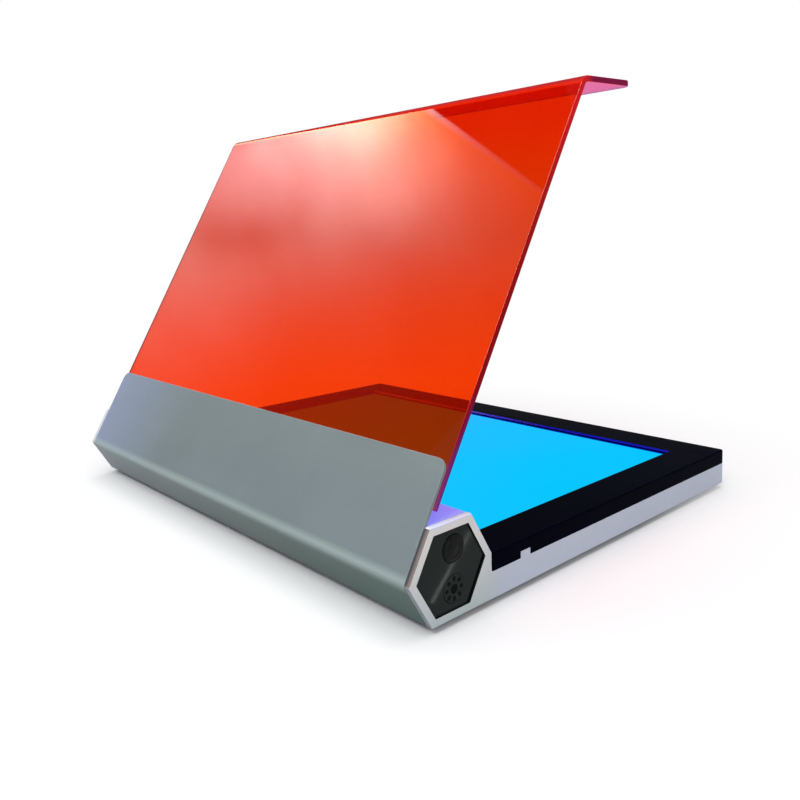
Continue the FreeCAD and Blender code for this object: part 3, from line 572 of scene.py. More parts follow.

# %% [markdown]
# ## Black frame
# A glossy moulding lies round the window. Its top is a plane with an inset opening, whose outer border
# is pulled down into walls. The opening has a small chamfer that stands in the blue light of the window,
# so that thin face gets its own material, with that light painted on as a blue glow. Two notches take the tabs of
# the side plates.

# %% Black frame
frame_middle = ((frame_low + frame_high) / 2).to_3d()
black_frame = start(
    "black_frame_moulding",
    bpy.ops.mesh.primitive_plane_add,
    size=1,
    location=(frame_middle.x, frame_middle.y, frame_high.z),
)
bpy.ops.mesh.select_all(action="SELECT")
top_middle = (frame_middle.x, frame_middle.y, frame_high.z)
bpy.ops.transform.resize(
    value=(frame_high.x - frame_low.x, frame_high.y - frame_low.y, 1), center_override=top_middle
)
ROUGH_INSET = 20 * MM
bpy.ops.mesh.inset(thickness=ROUGH_INSET)
for across in (-1, 1):
    for along in (-1, 1):
        pick(
            "VERT",
            lambda v: near(v.co.x, across * (frame_high.x - ROUGH_INSET))
            and near(v.co.y, frame_middle.y + along * ((frame_high.y - frame_low.y) / 2 - ROUGH_INSET)),
        )
        corner_x = window_high.x if across > 0 else window_low.x
        corner_y = window_high.y if along > 0 else window_low.y
        move(
            x=corner_x - across * (frame_high.x - ROUGH_INSET),
            y=corner_y - frame_middle.y - along * ((frame_high.y - frame_low.y) / 2 - ROUGH_INSET),
        )
pick("FACE", lambda f: all(near(v.co.x, window_low.x) or near(v.co.x, window_high.x) for v in f.verts))
bpy.ops.mesh.delete(type="FACE")
pick("EDGE", lambda e: e.is_boundary and (not window_low.y - MM < middle(e).y < window_high.y + MM
                                          or abs(middle(e).x) > window_high.x + MM))
pull(z=-FRAME_HEIGHT)
for front_x in (frame_low.x, frame_high.x):
    pick("EDGE", lambda e: all(near(v.co.y, frame_low.y) and near(v.co.x, front_x) for v in e.verts))
    round_off(FRAME_CORNER, 8)
face_towards((0, 0, 1))
for _ in range(2):
    black_frame.data.materials.append(None)
thicken(black_frame, FRAME_ROOF)
bpy.ops.object.mode_set(mode="EDIT")
outside_out()
pick(
    "EDGE",
    lambda e: all(
        near(v.co.z, frame_high.z)
        and window_low.x - MM < v.co.x < window_high.x + MM
        and window_low.y - MM < v.co.y < window_high.y + MM
        for v in e.verts
    ),
)
bpy.ops.mesh.bevel(offset_type="OFFSET", offset=WINDOW_CHAMFER, segments=1, affect="EDGES", material=1)
pick(
    "EDGE",
    lambda e: e.is_manifold
    and e.calc_face_angle(0) > math.radians(60)
    and all(near(v.co.z, frame_high.z) for v in e.verts)
    and not (
        window_low.x - 2 * MM < middle(e).x < window_high.x + 2 * MM
        and window_low.y - 2 * MM < middle(e).y < window_high.y + 2 * MM
    ),
)
round_off(0.6 * MM, 4)
BOSS_RADIUS = 3 * MM
BOSS_HOLE = 1.6 * MM
screws_low, screws_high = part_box("bottom_screws")
HEAD_RADIUS = 2.8 * MM
screw_places = [
    Vector((x, y, screws_low.z))
    for x in (screws_low.x + HEAD_RADIUS, (screws_low.x + screws_high.x) / 2, screws_high.x - HEAD_RADIUS)
    for y in (screws_low.y + HEAD_RADIUS, screws_high.y - HEAD_RADIUS)
]
roof_low = frame_high.z - FRAME_ROOF
for at in screw_places:
    boss = start(
        "screw_boss",
        bpy.ops.mesh.primitive_cylinder_add,
        vertices=32,
        radius=BOSS_RADIUS,
        depth=roof_low + MM - frame_low.z,
        location=(at.x, at.y, (roof_low + MM + frame_low.z) / 2),
    )
    cut_with(black_frame, boss, "UNION")
    drill = start(
        "boss_drill",
        bpy.ops.mesh.primitive_cylinder_add,
        vertices=24,
        radius=BOSS_HOLE,
        depth=2 * (screws_high.z - frame_low.z),
        location=(at.x, at.y, frame_low.z),
    )
    cut_with(black_frame, drill)
TAB_PLAY = 0.2 * MM
for side in (-1, 1):
    notch = start(
        "notch_cutter",
        bpy.ops.mesh.primitive_cube_add,
        size=1,
        scale=(2 * (PLATE + 0.3 * MM), TAB_END - TAB_START + 2 * TAB_PLAY, 2 * (TAB_HEIGHT + TAB_PLAY)),
        location=(side * HALF_WIDTH, HINGE_Y - (TAB_START + TAB_END) / 2, SPLIT_Z),
    )
    cut_with(black_frame, notch)
finish(black_frame, "base", "black_gloss", "frame")

# %% [markdown]
# ## Control end and inlet end
# A dark glossy panel closes each hexagonal opening, a little way in. The left one has two round
# buttons, one above the other; the right one has the inlet. Each panel is a six-sided disc with holes
# cut by round tools, and its edge is softened so that it catches a thin line of light.

# %% End panels
PANEL_RADIUS = 19.9 * MM
PANEL_THICK = 2.1 * MM
BUTTON_RADIUS = 6 * MM
BUTTON_PLAY = 0.15 * MM
BUTTON_OFFSET = 8.6 * MM
BUTTON_Y = HINGE_Y - 1.6 * MM
NOSE_HOLE = 4.82 * MM
ROUND_SIDES = 64


def end_panel(name, side, node, holes):
    """A hexagonal panel; each hole is a place along Y, a height above the hinge axis and a radius."""
    low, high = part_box(node)
    outer_x = low.x if side < 0 else high.x
    piece = start(
        name,
        bpy.ops.mesh.primitive_circle_add,
        vertices=6,
        radius=PANEL_RADIUS,
        fill_type="NGON",
        location=(outer_x, HINGE_Y, HINGE_Z),
        rotation=(0, math.radians(90), 0),
    )
    face_towards((side, 0, 0))
    thicken(piece, PANEL_THICK)
    for y, height, radius in holes:
        drill = start(
            "panel_drill",
            bpy.ops.mesh.primitive_cylinder_add,
            vertices=ROUND_SIDES,
            radius=radius,
            depth=4 * PANEL_THICK,
            location=(outer_x, y, HINGE_Z + height),
            rotation=(0, math.radians(90), 0),
        )
        cut_with(piece, drill)
    soften(piece, 0.12 * MM)
    return finish(piece, "base", "dark_panel", node)


button_holes = [(BUTTON_Y, up * BUTTON_OFFSET, BUTTON_RADIUS + BUTTON_PLAY) for up in (1, -1)]
end_panel("control_panel_glass", -1, "control_panel", button_holes)
end_panel("inlet_panel_glass", 1, "inlet_panel", [(HINGE_Y, 0, NOSE_HOLE)])

# %% [markdown]
# ## Buttons and their marks
# Each button is a turned cap with a shallow ring near its rim and a stem behind it. The marks are
# printed: a power mark on the upper one and a sun for brightness on the lower one. Print is thin but not
# flat, so each mark is a real skin a few hundredths of a millimetre thick, darker and duller than the cap.

# %% Button caps
STEM_RADIUS = 2.5 * MM
COLLAR = 0.35 * MM
COLLAR_THICK = 0.55 * MM
BACK_THICK = 1.8 * MM
RING_INSET = 0.45 * MM
RING_STEP = 0.08 * MM


def button_cap(name, node, body, height):
    """A turned cap: its face, a collar that rests behind the panel, and a stem."""
    low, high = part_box(node)
    cap_back = panel_back + 0.05 * MM
    piece = start(
        name,
        bpy.ops.mesh.primitive_cylinder_add,
        vertices=ROUND_SIDES,
        radius=BUTTON_RADIUS,
        depth=cap_back - low.x,
        location=((low.x + cap_back) / 2, BUTTON_Y, HINGE_Z + height),
        rotation=(0, math.radians(90), 0),
    )
    pick("FACE", lambda f: f.normal.x > 0.9)
    wider = (BUTTON_RADIUS + COLLAR) / BUTTON_RADIUS
    collar_middle = Vector((cap_back, BUTTON_Y, HINGE_Z + height))
    pull(x=0)
    bpy.ops.transform.resize(value=(1, wider, wider), center_override=collar_middle)
    pull(x=COLLAR_THICK)
    pull(x=BACK_THICK)
    bpy.ops.transform.resize(value=(1, 1 / wider, 1 / wider), center_override=collar_middle)
    bpy.ops.mesh.inset(thickness=BUTTON_RADIUS - STEM_RADIUS)
    pull(x=high.x - cap_back - COLLAR_THICK - BACK_THICK)
    pick("FACE", lambda f: f.normal.x < -0.9 and near(middle(f).x, low.x))
    bpy.ops.mesh.inset(thickness=RING_INSET)
    bpy.ops.mesh.inset(thickness=RING_STEP)
    move(x=RING_STEP)
    rim_middle = Vector((low.x, BUTTON_Y, HINGE_Z + height))
    pick("EDGE", lambda e: all(near((v.co - rim_middle).length, BUTTON_RADIUS) for v in e.verts))
    round_off(0.2 * MM, 3)
    outside_out()
    bpy.ops.object.mode_set(mode="OBJECT")
    return finish(piece, body, "dark_panel", node)


panel_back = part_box("control_panel")[1].x
power_cap = button_cap("power_cap", "power_button", "power_push", BUTTON_OFFSET)
button_cap("brightness_cap", "brightness_button", "brightness_push", -BUTTON_OFFSET)
CAP_FACE_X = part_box("power_button")[0].x + RING_STEP

# %% Power mark
INK = 0.04 * MM
MARK_OUTER = 4.6 * MM
MARK_INNER = 3.5 * MM
MARK_GAP = math.radians(32)
MARK_BAR = 1.1 * MM
mark_middle = Vector((CAP_FACE_X - INK, BUTTON_Y, HINGE_Z + BUTTON_OFFSET))
power_mark = start(
    "power_mark",
    bpy.ops.mesh.primitive_circle_add,
    vertices=72,
    radius=MARK_OUTER,
    location=mark_middle,
    rotation=(0, math.radians(90), 0),
)
pick("EDGE", lambda e: True)
bpy.ops.mesh.extrude_edges_move(TRANSFORM_OT_translate={"value": (0, 0, 0)})
shrink = MARK_INNER / MARK_OUTER
bpy.ops.transform.resize(value=(1, shrink, shrink), center_override=mark_middle)
pick(
    "FACE",
    lambda f: middle(f).z > mark_middle.z
    and abs(math.atan2(middle(f).y - mark_middle.y, middle(f).z - mark_middle.z)) < MARK_GAP,
)
bpy.ops.mesh.delete(type="FACE")
bpy.ops.mesh.select_all(action="DESELECT")
bpy.ops.mesh.primitive_plane_add(
    size=1,
    location=mark_middle + Vector((0, 0, 0.62 * MARK_OUTER)),
    rotation=(0, math.radians(90), 0),
)
bpy.ops.transform.resize(
    value=(1, MARK_BAR, 0.9 * MARK_OUTER), center_override=mark_middle + Vector((0, 0, 0.62 * MARK_OUTER))
)
face_towards((-1, 0, 0))
thicken(power_mark, INK)
finish(power_mark, "power_push", "dark_panel")

# %% Sun mark
SUN_DISC = 2.0 * MM
RAY_START = 3.3 * MM
RAY_END = 5.2 * MM
RAY_WIDTH = 1.5 * MM
RAYS = 8
sun_middle = Vector((CAP_FACE_X - INK, BUTTON_Y, HINGE_Z - BUTTON_OFFSET))
sun_mark = start(
    "sun_mark",
    bpy.ops.mesh.primitive_circle_add,
    vertices=32,
    radius=SUN_DISC,
    fill_type="NGON",
    location=sun_middle,
    rotation=(0, math.radians(90), 0),
)
ray_middle = sun_middle + Vector((0, 0, (RAY_START + RAY_END) / 2))
for ray in range(RAYS):
    bpy.ops.mesh.select_all(action="DESELECT")
    bpy.ops.mesh.primitive_plane_add(size=1, location=ray_middle, rotation=(0, math.radians(90), 0))
    bpy.ops.transform.resize(value=(1, RAY_WIDTH, RAY_END - RAY_START), center_override=ray_middle)
    round_off(0.35 * MM, 3, corners=True)
    bpy.ops.transform.rotate(value=2 * math.pi * ray / RAYS, orient_axis="X", center_override=sun_middle)
face_towards((-1, 0, 0))
thicken(sun_mark, INK)
finish(sun_mark, "brightness_push", "dark_panel")

# %% [markdown]
# ## Feet and screws underneath
# Nobody sees them in use, but a maker does: four rubber feet with a grip ring, pressed into the floor,
# and six screws with a hexagonal socket. Each is modelled once, at the first place, and copied.


# %% Copies of a finished shape
def copy_to(piece, name, shift):
    """A copy with its own mesh, its place kept in the mesh."""
    deselect()
    piece.select_set(True)
    bpy.context.view_layer.objects.active = piece
    bpy.ops.object.duplicate(linked=False)
    twin = bpy.context.object
    twin.name = name
    twin.data.name = name
    bpy.ops.transform.translate(value=shift)
    bpy.ops.object.transform_apply(location=True, rotation=True, scale=True)
    return twin


# %% Rubber feet
FOOT_RADIUS = 5.5 * MM
FOOT_HEIGHT = 3 * MM
FOOT_STEM = 1.8 * MM
FOOT_TOP = 5.7 * MM
GRIP_RING = 1.4 * MM
foot_names = ["foot_rear_left", "foot_front_left", "foot_rear_right", "foot_front_right"]


def foot_middle(node):
    low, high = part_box(node)
    return Vector(((low.x + high.x) / 2, (low.y + high.y) / 2, 0))


first_foot = foot_middle(foot_names[0])
foot = start(
    "rubber_foot",
    bpy.ops.mesh.primitive_cylinder_add,
    vertices=48,
    radius=FOOT_RADIUS,
    depth=FOOT_HEIGHT,
    location=first_foot + Vector((0, 0, FOOT_HEIGHT / 2)),
)
pick("FACE", lambda f: f.normal.z > 0.9)
bpy.ops.mesh.inset(thickness=FOOT_RADIUS - FOOT_STEM)
pull(z=FOOT_TOP - FOOT_HEIGHT)
pick("FACE", lambda f: f.normal.z < -0.9)
bpy.ops.transform.resize(value=(0.9, 0.9, 1), center_override=first_foot)
bpy.ops.mesh.inset(thickness=GRIP_RING)
bpy.ops.mesh.inset(thickness=0.3 * MM)
move(z=0.4 * MM)
bpy.ops.mesh.inset(thickness=0.8 * MM)
bpy.ops.mesh.inset(thickness=0.3 * MM)
move(z=-0.4 * MM)
outside_out()
soften(foot, 0.1 * MM)
feet = [foot]
for node in foot_names[1:]:
    feet.append(copy_to(foot, node + "_rubber", foot_middle(node) - first_foot))
foot.name = foot_names[0] + "_rubber"
for piece, node in zip(feet, foot_names):
    finish(piece, "base", "rubber_black", node)

# %% Screws
HEAD_HEIGHT = 1.6 * MM
SHANK_RADIUS = 1.5 * MM
SOCKET_RADIUS = 1.25 * MM
SOCKET_DEPTH = 0.9 * MM
screw = start(
    "tray_screw_1",
    bpy.ops.mesh.primitive_cylinder_add,
    vertices=36,
    radius=HEAD_RADIUS,
    depth=HEAD_HEIGHT,
    location=screw_places[0] + Vector((0, 0, HEAD_HEIGHT / 2)),
)
pick("FACE", lambda f: f.normal.z > 0.9)
bpy.ops.mesh.inset(thickness=HEAD_RADIUS - SHANK_RADIUS)
pull(z=screws_high.z - screws_low.z - HEAD_HEIGHT)
pick("EDGE", lambda e: all(near(v.co.z, screws_low.z) for v in e.verts))
round_off(0.7 * MM, 4)
outside_out()
socket = start(
    "socket_cutter",
    bpy.ops.mesh.primitive_cylinder_add,
    vertices=6,
    radius=SOCKET_RADIUS,
    depth=2 * SOCKET_DEPTH,
    location=screw_places[0],
)
cut_with(screw, socket)
soften(screw, 0.06 * MM, 2, 50)
screws = [screw]
for number, at in enumerate(screw_places[1:], 2):
    screws.append(copy_to(screw, f"tray_screw_{number}", at - screw_places[0]))
for piece in screws:
    finish(piece, "base", "steel")
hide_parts("bottom_screws")

# %% [markdown]
# ## Finishes: shared effects
# A real surface is never one colour. A few small effects come back on most materials, so each is a node
# group, built once and given its own values in every material: a fine grain, marks from handling, a painted
# highlight along edges, long lines from a die, and specks of dust.


# %% Nodes in one line each
def paint(red, green, blue):
    """A colour as it looks on screen, from 0 to 255, as the linear values that shaders take."""
    channels = [channel / 255 for channel in (red, green, blue)]
    return (*[c / 12.92 if c < 0.04045 else ((c + 0.055) / 1.055) ** 2.4 for c in channels], 1.0)


def put(tree, kind, feeds=None, **settings):
    """Adds a node, sets it, and links or fills its inputs."""
    node = tree.nodes.new("ShaderNode" + kind)
    for setting, value in settings.items():
        setattr(node, setting, value)
    for socket, value in (feeds or {}).items():
        if isinstance(value, bpy.types.NodeSocket):
            tree.links.new(value, node.inputs[socket])
        else:
            node.inputs[socket].default_value = value
    return node


def new_group(name, inputs, outputs):
    """An empty node group with named number inputs and outputs."""
    group = bpy.data.node_groups.new(name, "ShaderNodeTree")
    for label, value in inputs.items():
        socket = group.interface.new_socket(name=label, in_out="INPUT", socket_type="NodeSocketFloat")
        socket.default_value = value
    for label in outputs:
        group.interface.new_socket(name=label, in_out="OUTPUT", socket_type="NodeSocketFloat")
    return group, group.nodes.new("NodeGroupInput"), group.nodes.new("NodeGroupOutput")


def spread(tree, value, low, high, to_low=0.0, to_high=1.0):
    """Stretches a range of a pattern to another range, and stops at its ends."""
    feeds = {"Value": value, "From Min": low, "From Max": high, "To Min": to_low, "To Max": to_high}
    return put(tree, "MapRange", feeds).outputs["Result"]


def reckon(tree, operation, first, second=0.0):
    return put(tree, "Math", {0: first, 1: second}, operation=operation).outputs[0]


def axes(tree, vector=None):
    """X, Y and Z of a vector, or of the place on the piece where none is given."""
    return put(tree, "SeparateXYZ", {0: vector or put(tree, "TexCoord").outputs["Object"]}).outputs


def tone_ramp(tree, value, *stops):
    """A colour that runs through tones, each given after its place on the value's way from 0 to 1."""
    ramp = put(tree, "ValToRGB", {0: value})
    elements = ramp.color_ramp.elements
    for element, (at, tone) in zip(elements, (stops[0], stops[-1])):
        element.position, element.color = at, tone
    for at, tone in stops[1:-1]:
        elements.new(at).color = tone
    return ramp.outputs[0]


# %% Fine grain
fine_grain, taken, given = new_group("fine_grain", {"Size": 0.3 * MM}, ["Height", "Fleck"])
place = put(fine_grain, "TexCoord").outputs["Object"]
per_metre = reckon(fine_grain, "DIVIDE", 1.0, taken.outputs["Size"])
pits = put(fine_grain, "TexNoise", {"Vector": place, "Scale": per_metre, "Detail": 3.0, "Roughness": 0.6})
cells = put(fine_grain, "TexVoronoi", {"Vector": place, "Scale": per_metre})
fine_grain.links.new(pits.outputs["Fac"], given.inputs["Height"])
fine_grain.links.new(spread(fine_grain, cells.outputs["Distance"], 0.15, 0.75), given.inputs["Fleck"])

# %% Marks from handling
handling, taken, given = new_group("handling_marks", {"Size": 40 * MM}, ["Cloud", "Streak"])
place = put(handling, "TexCoord").outputs["Object"]
per_metre = reckon(handling, "DIVIDE", 1.0, taken.outputs["Size"])
cloud = put(handling, "TexNoise", {"Vector": place, "Scale": per_metre, "Detail": 5.0, "Distortion": 0.4})
turned = put(handling, "Mapping", {"Vector": place, "Rotation": (0.4, 0.3, 0.5), "Scale": (0.25, 1.4, 2.2)})
wipe = put(
    handling, "TexNoise", {"Vector": turned.outputs[0], "Scale": per_metre, "Detail": 6.0, "Roughness": 0.7}
)
handling.links.new(spread(handling, cloud.outputs["Fac"], 0.3, 0.7), given.inputs["Cloud"])
handling.links.new(spread(handling, wipe.outputs["Fac"], 0.45, 0.75), given.inputs["Streak"])

# %% Edges: where a painted highlight goes
edges, taken, given = new_group("worn_edges", {"Width": 0.5 * MM}, ["Mask"])
# A mask along rounded edges, used to paint a highlight there
rounded = put(edges, "Bevel", {"Radius": taken.outputs["Width"]}, samples=6).outputs[0]
flat = put(edges, "NewGeometry").outputs["True Normal"]
turn = put(edges, "VectorMath", {0: rounded, 1: flat}, operation="DOT_PRODUCT").outputs["Value"]
edges.links.new(spread(edges, turn, 0.99, 0.85), given.inputs["Mask"])

# %% Lines from the die
die_lines, taken, given = new_group("die_lines", {"Size": 0.4 * MM}, ["Height"])
place = put(die_lines, "TexCoord").outputs["Object"]
stretched = put(die_lines, "Mapping", {"Vector": place, "Scale": (0.01, 1.0, 1.0)}).outputs[0]
per_metre = reckon(die_lines, "DIVIDE", 1.0, taken.outputs["Size"])
lines = put(die_lines, "TexNoise", {"Vector": stretched, "Scale": per_metre, "Detail": 4.0, "Roughness": 0.7})
die_lines.links.new(lines.outputs["Fac"], given.inputs["Height"])

# %% Dust
dust, taken, given = new_group("dust_specks", {"Spacing": 3 * MM}, ["Mask"])
place = put(dust, "TexCoord").outputs["Object"]
per_metre = reckon(dust, "DIVIDE", 1.0, taken.outputs["Spacing"])
grains = put(dust, "TexVoronoi", {"Vector": place, "Scale": per_metre})
bare = put(dust, "TexNoise", {"Vector": place, "Scale": 25.0, "Detail": 2.0}).outputs["Fac"]
speck = spread(dust, grains.outputs["Distance"], 0.07, 0.04)
dust.links.new(reckon(dust, "MULTIPLY", speck, spread(dust, bare, 0.45, 0.7)), given.inputs["Mask"])

# %% [markdown]
# ## Finishes: the materials
# Every material starts the same way: a principled shader whose colour is mixed between two tones by a
# pattern, whose roughness moves a little with the handling marks, and whose normal carries a fine bump.
# What differs is the values, and a few materials add something of their own.


# %% A material with two tones
materials = {}


def effect(material, group, output, **values):
    """Puts a shared effect into a material and gives one of its outputs."""
    node = material.node_tree.nodes.new("ShaderNodeGroup")
    node.node_tree = group
    for label, value in values.items():
        node.inputs[label].default_value = value
    return node.outputs[output]


def blend_colours(tree, share, first, second, blend="MIX"):
    node = put(tree, "Mix", {0: share, 6: first, 7: second}, data_type="RGBA", blend_type=blend)
    return node.outputs[2]


def surface(name, tone, other_tone, roughness, grain=0.3 * MM, bump=0.02 * MM, marks=40 * MM, **constants):
    """A material whose colour lies between two tones and whose gloss is uneven."""
    material = bpy.data.materials.get(name) or bpy.data.materials.new(name)
    material.use_nodes = True
    tree = material.node_tree
    tree.nodes.clear()
    shader = put(tree, "BsdfPrincipled")
    put(tree, "OutputMaterial", {"Surface": shader.outputs[0]})
    cloud = effect(material, handling, "Cloud", Size=marks)
    streak = effect(material, handling, "Streak", Size=marks / 2)
    fleck = effect(material, fine_grain, "Fleck", Size=grain)
    mix = reckon(tree, "MULTIPLY_ADD", cloud, 0.6)
    mix.node.inputs[2].default_value = 0.0
    share = reckon(tree, "ADD", mix, reckon(tree, "MULTIPLY", fleck, 0.4))
    tree.links.new(blend_colours(tree, share, tone, other_tone), shader.inputs["Base Color"])
    low, high = roughness
    tree.links.new(spread(tree, streak, 0.0, 1.0, low, high), shader.inputs["Roughness"])
    height = effect(material, fine_grain, "Height", Size=grain)
    relief = put(tree, "Bump", {"Height": height, "Strength": 1.0, "Distance": bump})
    tree.links.new(relief.outputs[0], shader.inputs["Normal"])
    for label, value in constants.items():
        shader.inputs[label.replace("_", " ").title().replace("Ior", "IOR")].default_value = value
    materials[name] = material
    return material, tree, shader


def colour_of(shader):
    """What feeds the shader's colour now."""
    return shader.inputs["Base Color"].links[0].from_socket


def paint_over(tree, shader, share, colour):
    """Lays another colour over the shader's own where the share says so."""
    tree.links.new(blend_colours(tree, share, colour_of(shader), colour), shader.inputs["Base Color"])


def light_up(tree, shader, colour, strength=1.0):
    tree.links.new(colour, shader.inputs["Emission Color"])
    shader.inputs["Emission Strength"].default_value = strength


def add_edge_highlight(material, tree, shader, colour, width, amount):
    """Paints a highlight along the edges, or a shade where the colour given is darker."""
    mask = reckon(tree, "MULTIPLY", effect(material, edges, "Mask", Width=width), amount)
    paint_over(tree, shader, mask, colour)


def add_dust(material, tree, shader, spacing, amount):
    """Pale specks on the colour."""
    mask = reckon(tree, "MULTIPLY", effect(material, dust, "Mask", Spacing=spacing), amount)
    paint_over(tree, shader, mask, paint(190, 188, 182))


# %% Painted plates and their cut edges
white, tree, shader = surface(
    "white_paint", paint(218, 225, 241), paint(209, 216, 233), (0.36, 0.48), grain=0.7 * MM, bump=0.03 * MM
)
apart = axes(tree)
on_ring = spread(tree, apart[1], HINGE_Y - 30 * MM, HINGE_Y - 20 * MM, 0.0, 0.9)
# On the ring the paint is shaded by height, as painted light and shade: greenish grey low down, warm white high up
ring_light_and_shade = blend_colours(
    tree,
    spread(tree, apart[2], HINGE_Z - HEX_FLAT, HINGE_Z + 0.6 * HEX_FLAT),
    paint(202, 215, 214),
    paint(246, 240, 236),
)
# A lilac band along the top edge: a painted highlight
top_edge_highlight = spread(tree, apart[2], HINGE_Z + HEX_FLAT - 0.9 * MM, HINGE_Z + HEX_FLAT - 0.2 * MM)
ring_light_and_shade = blend_colours(tree, top_edge_highlight, ring_light_and_shade, paint(226, 228, 255))
paint_over(tree, shader, on_ring, ring_light_and_shade)
# A lighter colour along the edges: a painted edge highlight
add_edge_highlight(white, tree, shader, paint(244, 240, 246), 0.5 * MM, 0.5)
add_dust(white, tree, shader, 5 * MM, 0.1)
# The cut edges are a greyer copy of the white paint, as painted shade
cut_edge, tree, shader = surface(
    "cut_edge", paint(186, 193, 200), paint(172, 179, 186), (0.42, 0.58), bump=0.05 * MM
)
apart = axes(tree)
# Painted shade on the upper cut edges of the left plate: brown at the outer face, a painted warm reflection of the
# amber, turning near black next to the sheet. The right plate's upper edges are painted pale instead
upper = spread(tree, apart[2], HINGE_Z - MM, HINGE_Z + MM)
inwards = spread(tree, apart[0], 0.6 * MM - HALF_WIDTH, 0.8 * PLATE - HALF_WIDTH)
shaded_edge = blend_colours(tree, inwards, paint(136, 126, 122), paint(66, 66, 70))
right_plate = spread(tree, apart[0], 0.0, MM)
shaded_edge = blend_colours(tree, right_plate, shaded_edge, paint(214, 219, 228))
paint_over(tree, shader, upper, shaded_edge)
# The wall of the plate's opening is black: painted shade inside the recess
recess, tree, shader = surface("recess_black", paint(9, 10, 12), paint(15, 16, 18), (0.45, 0.6))

# %% Black frame
gloss, tree, shader = surface(
    "black_gloss",
    paint(1, 3, 15),
    paint(2, 4, 19),
    (0.32, 0.42),
    grain=1.2 * MM,
    bump=0.01 * MM,
    specular_ior_level=0.015,
)
add_dust(gloss, tree, shader, 4 * MM, 0.03)

# %% [markdown]
# ## The lit window
# Under the clear glass lies a diffuser over blue lamps. In use it is a bright cyan sheet, a little
# deeper blue far from the eye and round its border, where the outer rows of lamps end. The light itself
# is an emission with those tones, so it looks the same from every side.

# %% Lit window and chamfer with painted window light
WINDOW_SIZE = window_high - window_low
window_middle = (window_low + window_high) / 2
lit, tree, shader = surface(
    "lit_window", paint(0, 8, 30), paint(0, 10, 36), (0.3, 0.4), bump=0.004 * MM, specular_ior_level=0.0
)
place = put(tree, "TexCoord").outputs["Object"]
apart = axes(tree, place)
along_x = spread(tree, apart[0], window_low.x, window_high.x)
along_y = spread(tree, apart[1], window_low.y, window_high.y)
lamp_field = put(tree, "TexNoise", {"Vector": place, "Scale": 14.0, "Detail": 1.0}).outputs["Fac"]
uneven = reckon(tree, "MULTIPLY", lamp_field, 0.3)
sweep = reckon(tree, "ADD", reckon(tree, "MULTIPLY", along_x, 0.75), uneven)
sheet_tone = tone_ramp(
    tree, sweep, (0.08, paint(0, 199, 255)), (0.5, paint(32, 192, 254)), (0.95, paint(70, 165, 255))
)
edge_x = reckon(tree, "ABSOLUTE", reckon(tree, "SUBTRACT", along_x, 0.5))
edge_y = reckon(tree, "ABSOLUTE", reckon(tree, "SUBTRACT", along_y, 0.5))
edge_x = reckon(tree, "MULTIPLY", reckon(tree, "SUBTRACT", 0.5, edge_x), WINDOW_SIZE.x)
edge_y = reckon(tree, "MULTIPLY", reckon(tree, "SUBTRACT", 0.5, edge_y), WINDOW_SIZE.y)
border = spread(tree, reckon(tree, "MINIMUM", edge_x, edge_y), 1.6 * MM, 0.7 * MM)
light_up(tree, shader, blend_colours(tree, border, sheet_tone, paint(0, 8, 165)))
# The chamfer round the window gets a blue glow of its own: painted light from the window on the black frame
chamfer, tree, shader = surface(
    "lit_chamfer", paint(2, 4, 60), paint(2, 4, 80), (0.2, 0.3), specular_ior_level=0.2
)
flicker = effect(chamfer, handling, "Cloud", Size=60 * MM)
painted_chamfer_glow = blend_colours(tree, flicker, paint(0, 6, 130), paint(0, 18, 190))
light_up(tree, shader, painted_chamfer_glow)

# %% [markdown]
# ## Amber acrylic
# The filter stops blue and lets red and orange through. As clear coloured acrylic it is mostly
# transmission: its colour comes from what lies behind it, and its gloss from the room. On top of that it has a
# painted red glow, a colour that deepens up the plate as painted light, and a painted violet reflection of the
# window under the lip. A cast sheet is never quite flat, so a long, very low wave bends the reflections. The cut
# edges get a painted magenta glow, for blue light from the window that runs inside the sheet and comes out there;
# it is painted bluer near the window.

# %% Amber filter
amber, tree, shader = surface(
    "amber_acrylic",
    paint(240, 46, 4),
    paint(250, 64, 6),
    (0.012, 0.03),
    grain=60 * MM,
    bump=0.012 * MM,
    transmission_weight=1.0,
    ior=1.49,
)
apart = axes(tree)
up_the_plate = spread(tree, apart[2], amber_low.z, amber_fold.z)
# Up the plate the colour turns from orange to a deeper red: painted light, for the window's light on the lower
# part
painted_light_tone = tone_ramp(
    tree,
    up_the_plate,
    (0.0, paint(222, 66, 2)),
    (0.25, paint(216, 62, 2)),
    (0.6, paint(180, 52, 3)),
    (0.9, paint(202, 28, 2)),
)
paint_over(tree, shader, 0.75, painted_light_tone)
# The acrylic is given a red glow, stronger low on the plate: painted light
painted_glow = tone_ramp(
    tree,
    up_the_plate,
    (0.0, (0.13, 0.0015, 0.0001, 1.0)),
    (0.6, (0.07, 0.0008, 0.0001, 1.0)),
    (0.9, (0.062, 0.0007, 0.0001, 1.0)),
)
# Under the lip the glow turns violet: a painted reflection of the window
on_lip = spread(tree, apart[1], amber_fold.y, amber_fold.y - 6 * MM)
facing_up = axes(tree, put(tree, "NewGeometry").outputs["Normal"])[2]
under_lip = reckon(tree, "MULTIPLY", on_lip, spread(tree, facing_up, -0.7, -0.9))
light_up(tree, shader, blend_colours(tree, under_lip, painted_glow, (0.2, 0.05, 0.26, 1.0)))
amber_edge, tree, shader = surface(
    "amber_cut_edge",
    paint(128, 6, 12),
    paint(142, 8, 16),
    (0.35, 0.5),
    bump=0.02 * MM,
    specular_ior_level=0.06,
)
apart = axes(tree)
up = spread(tree, apart[2], amber_low.z, amber_fold.z)
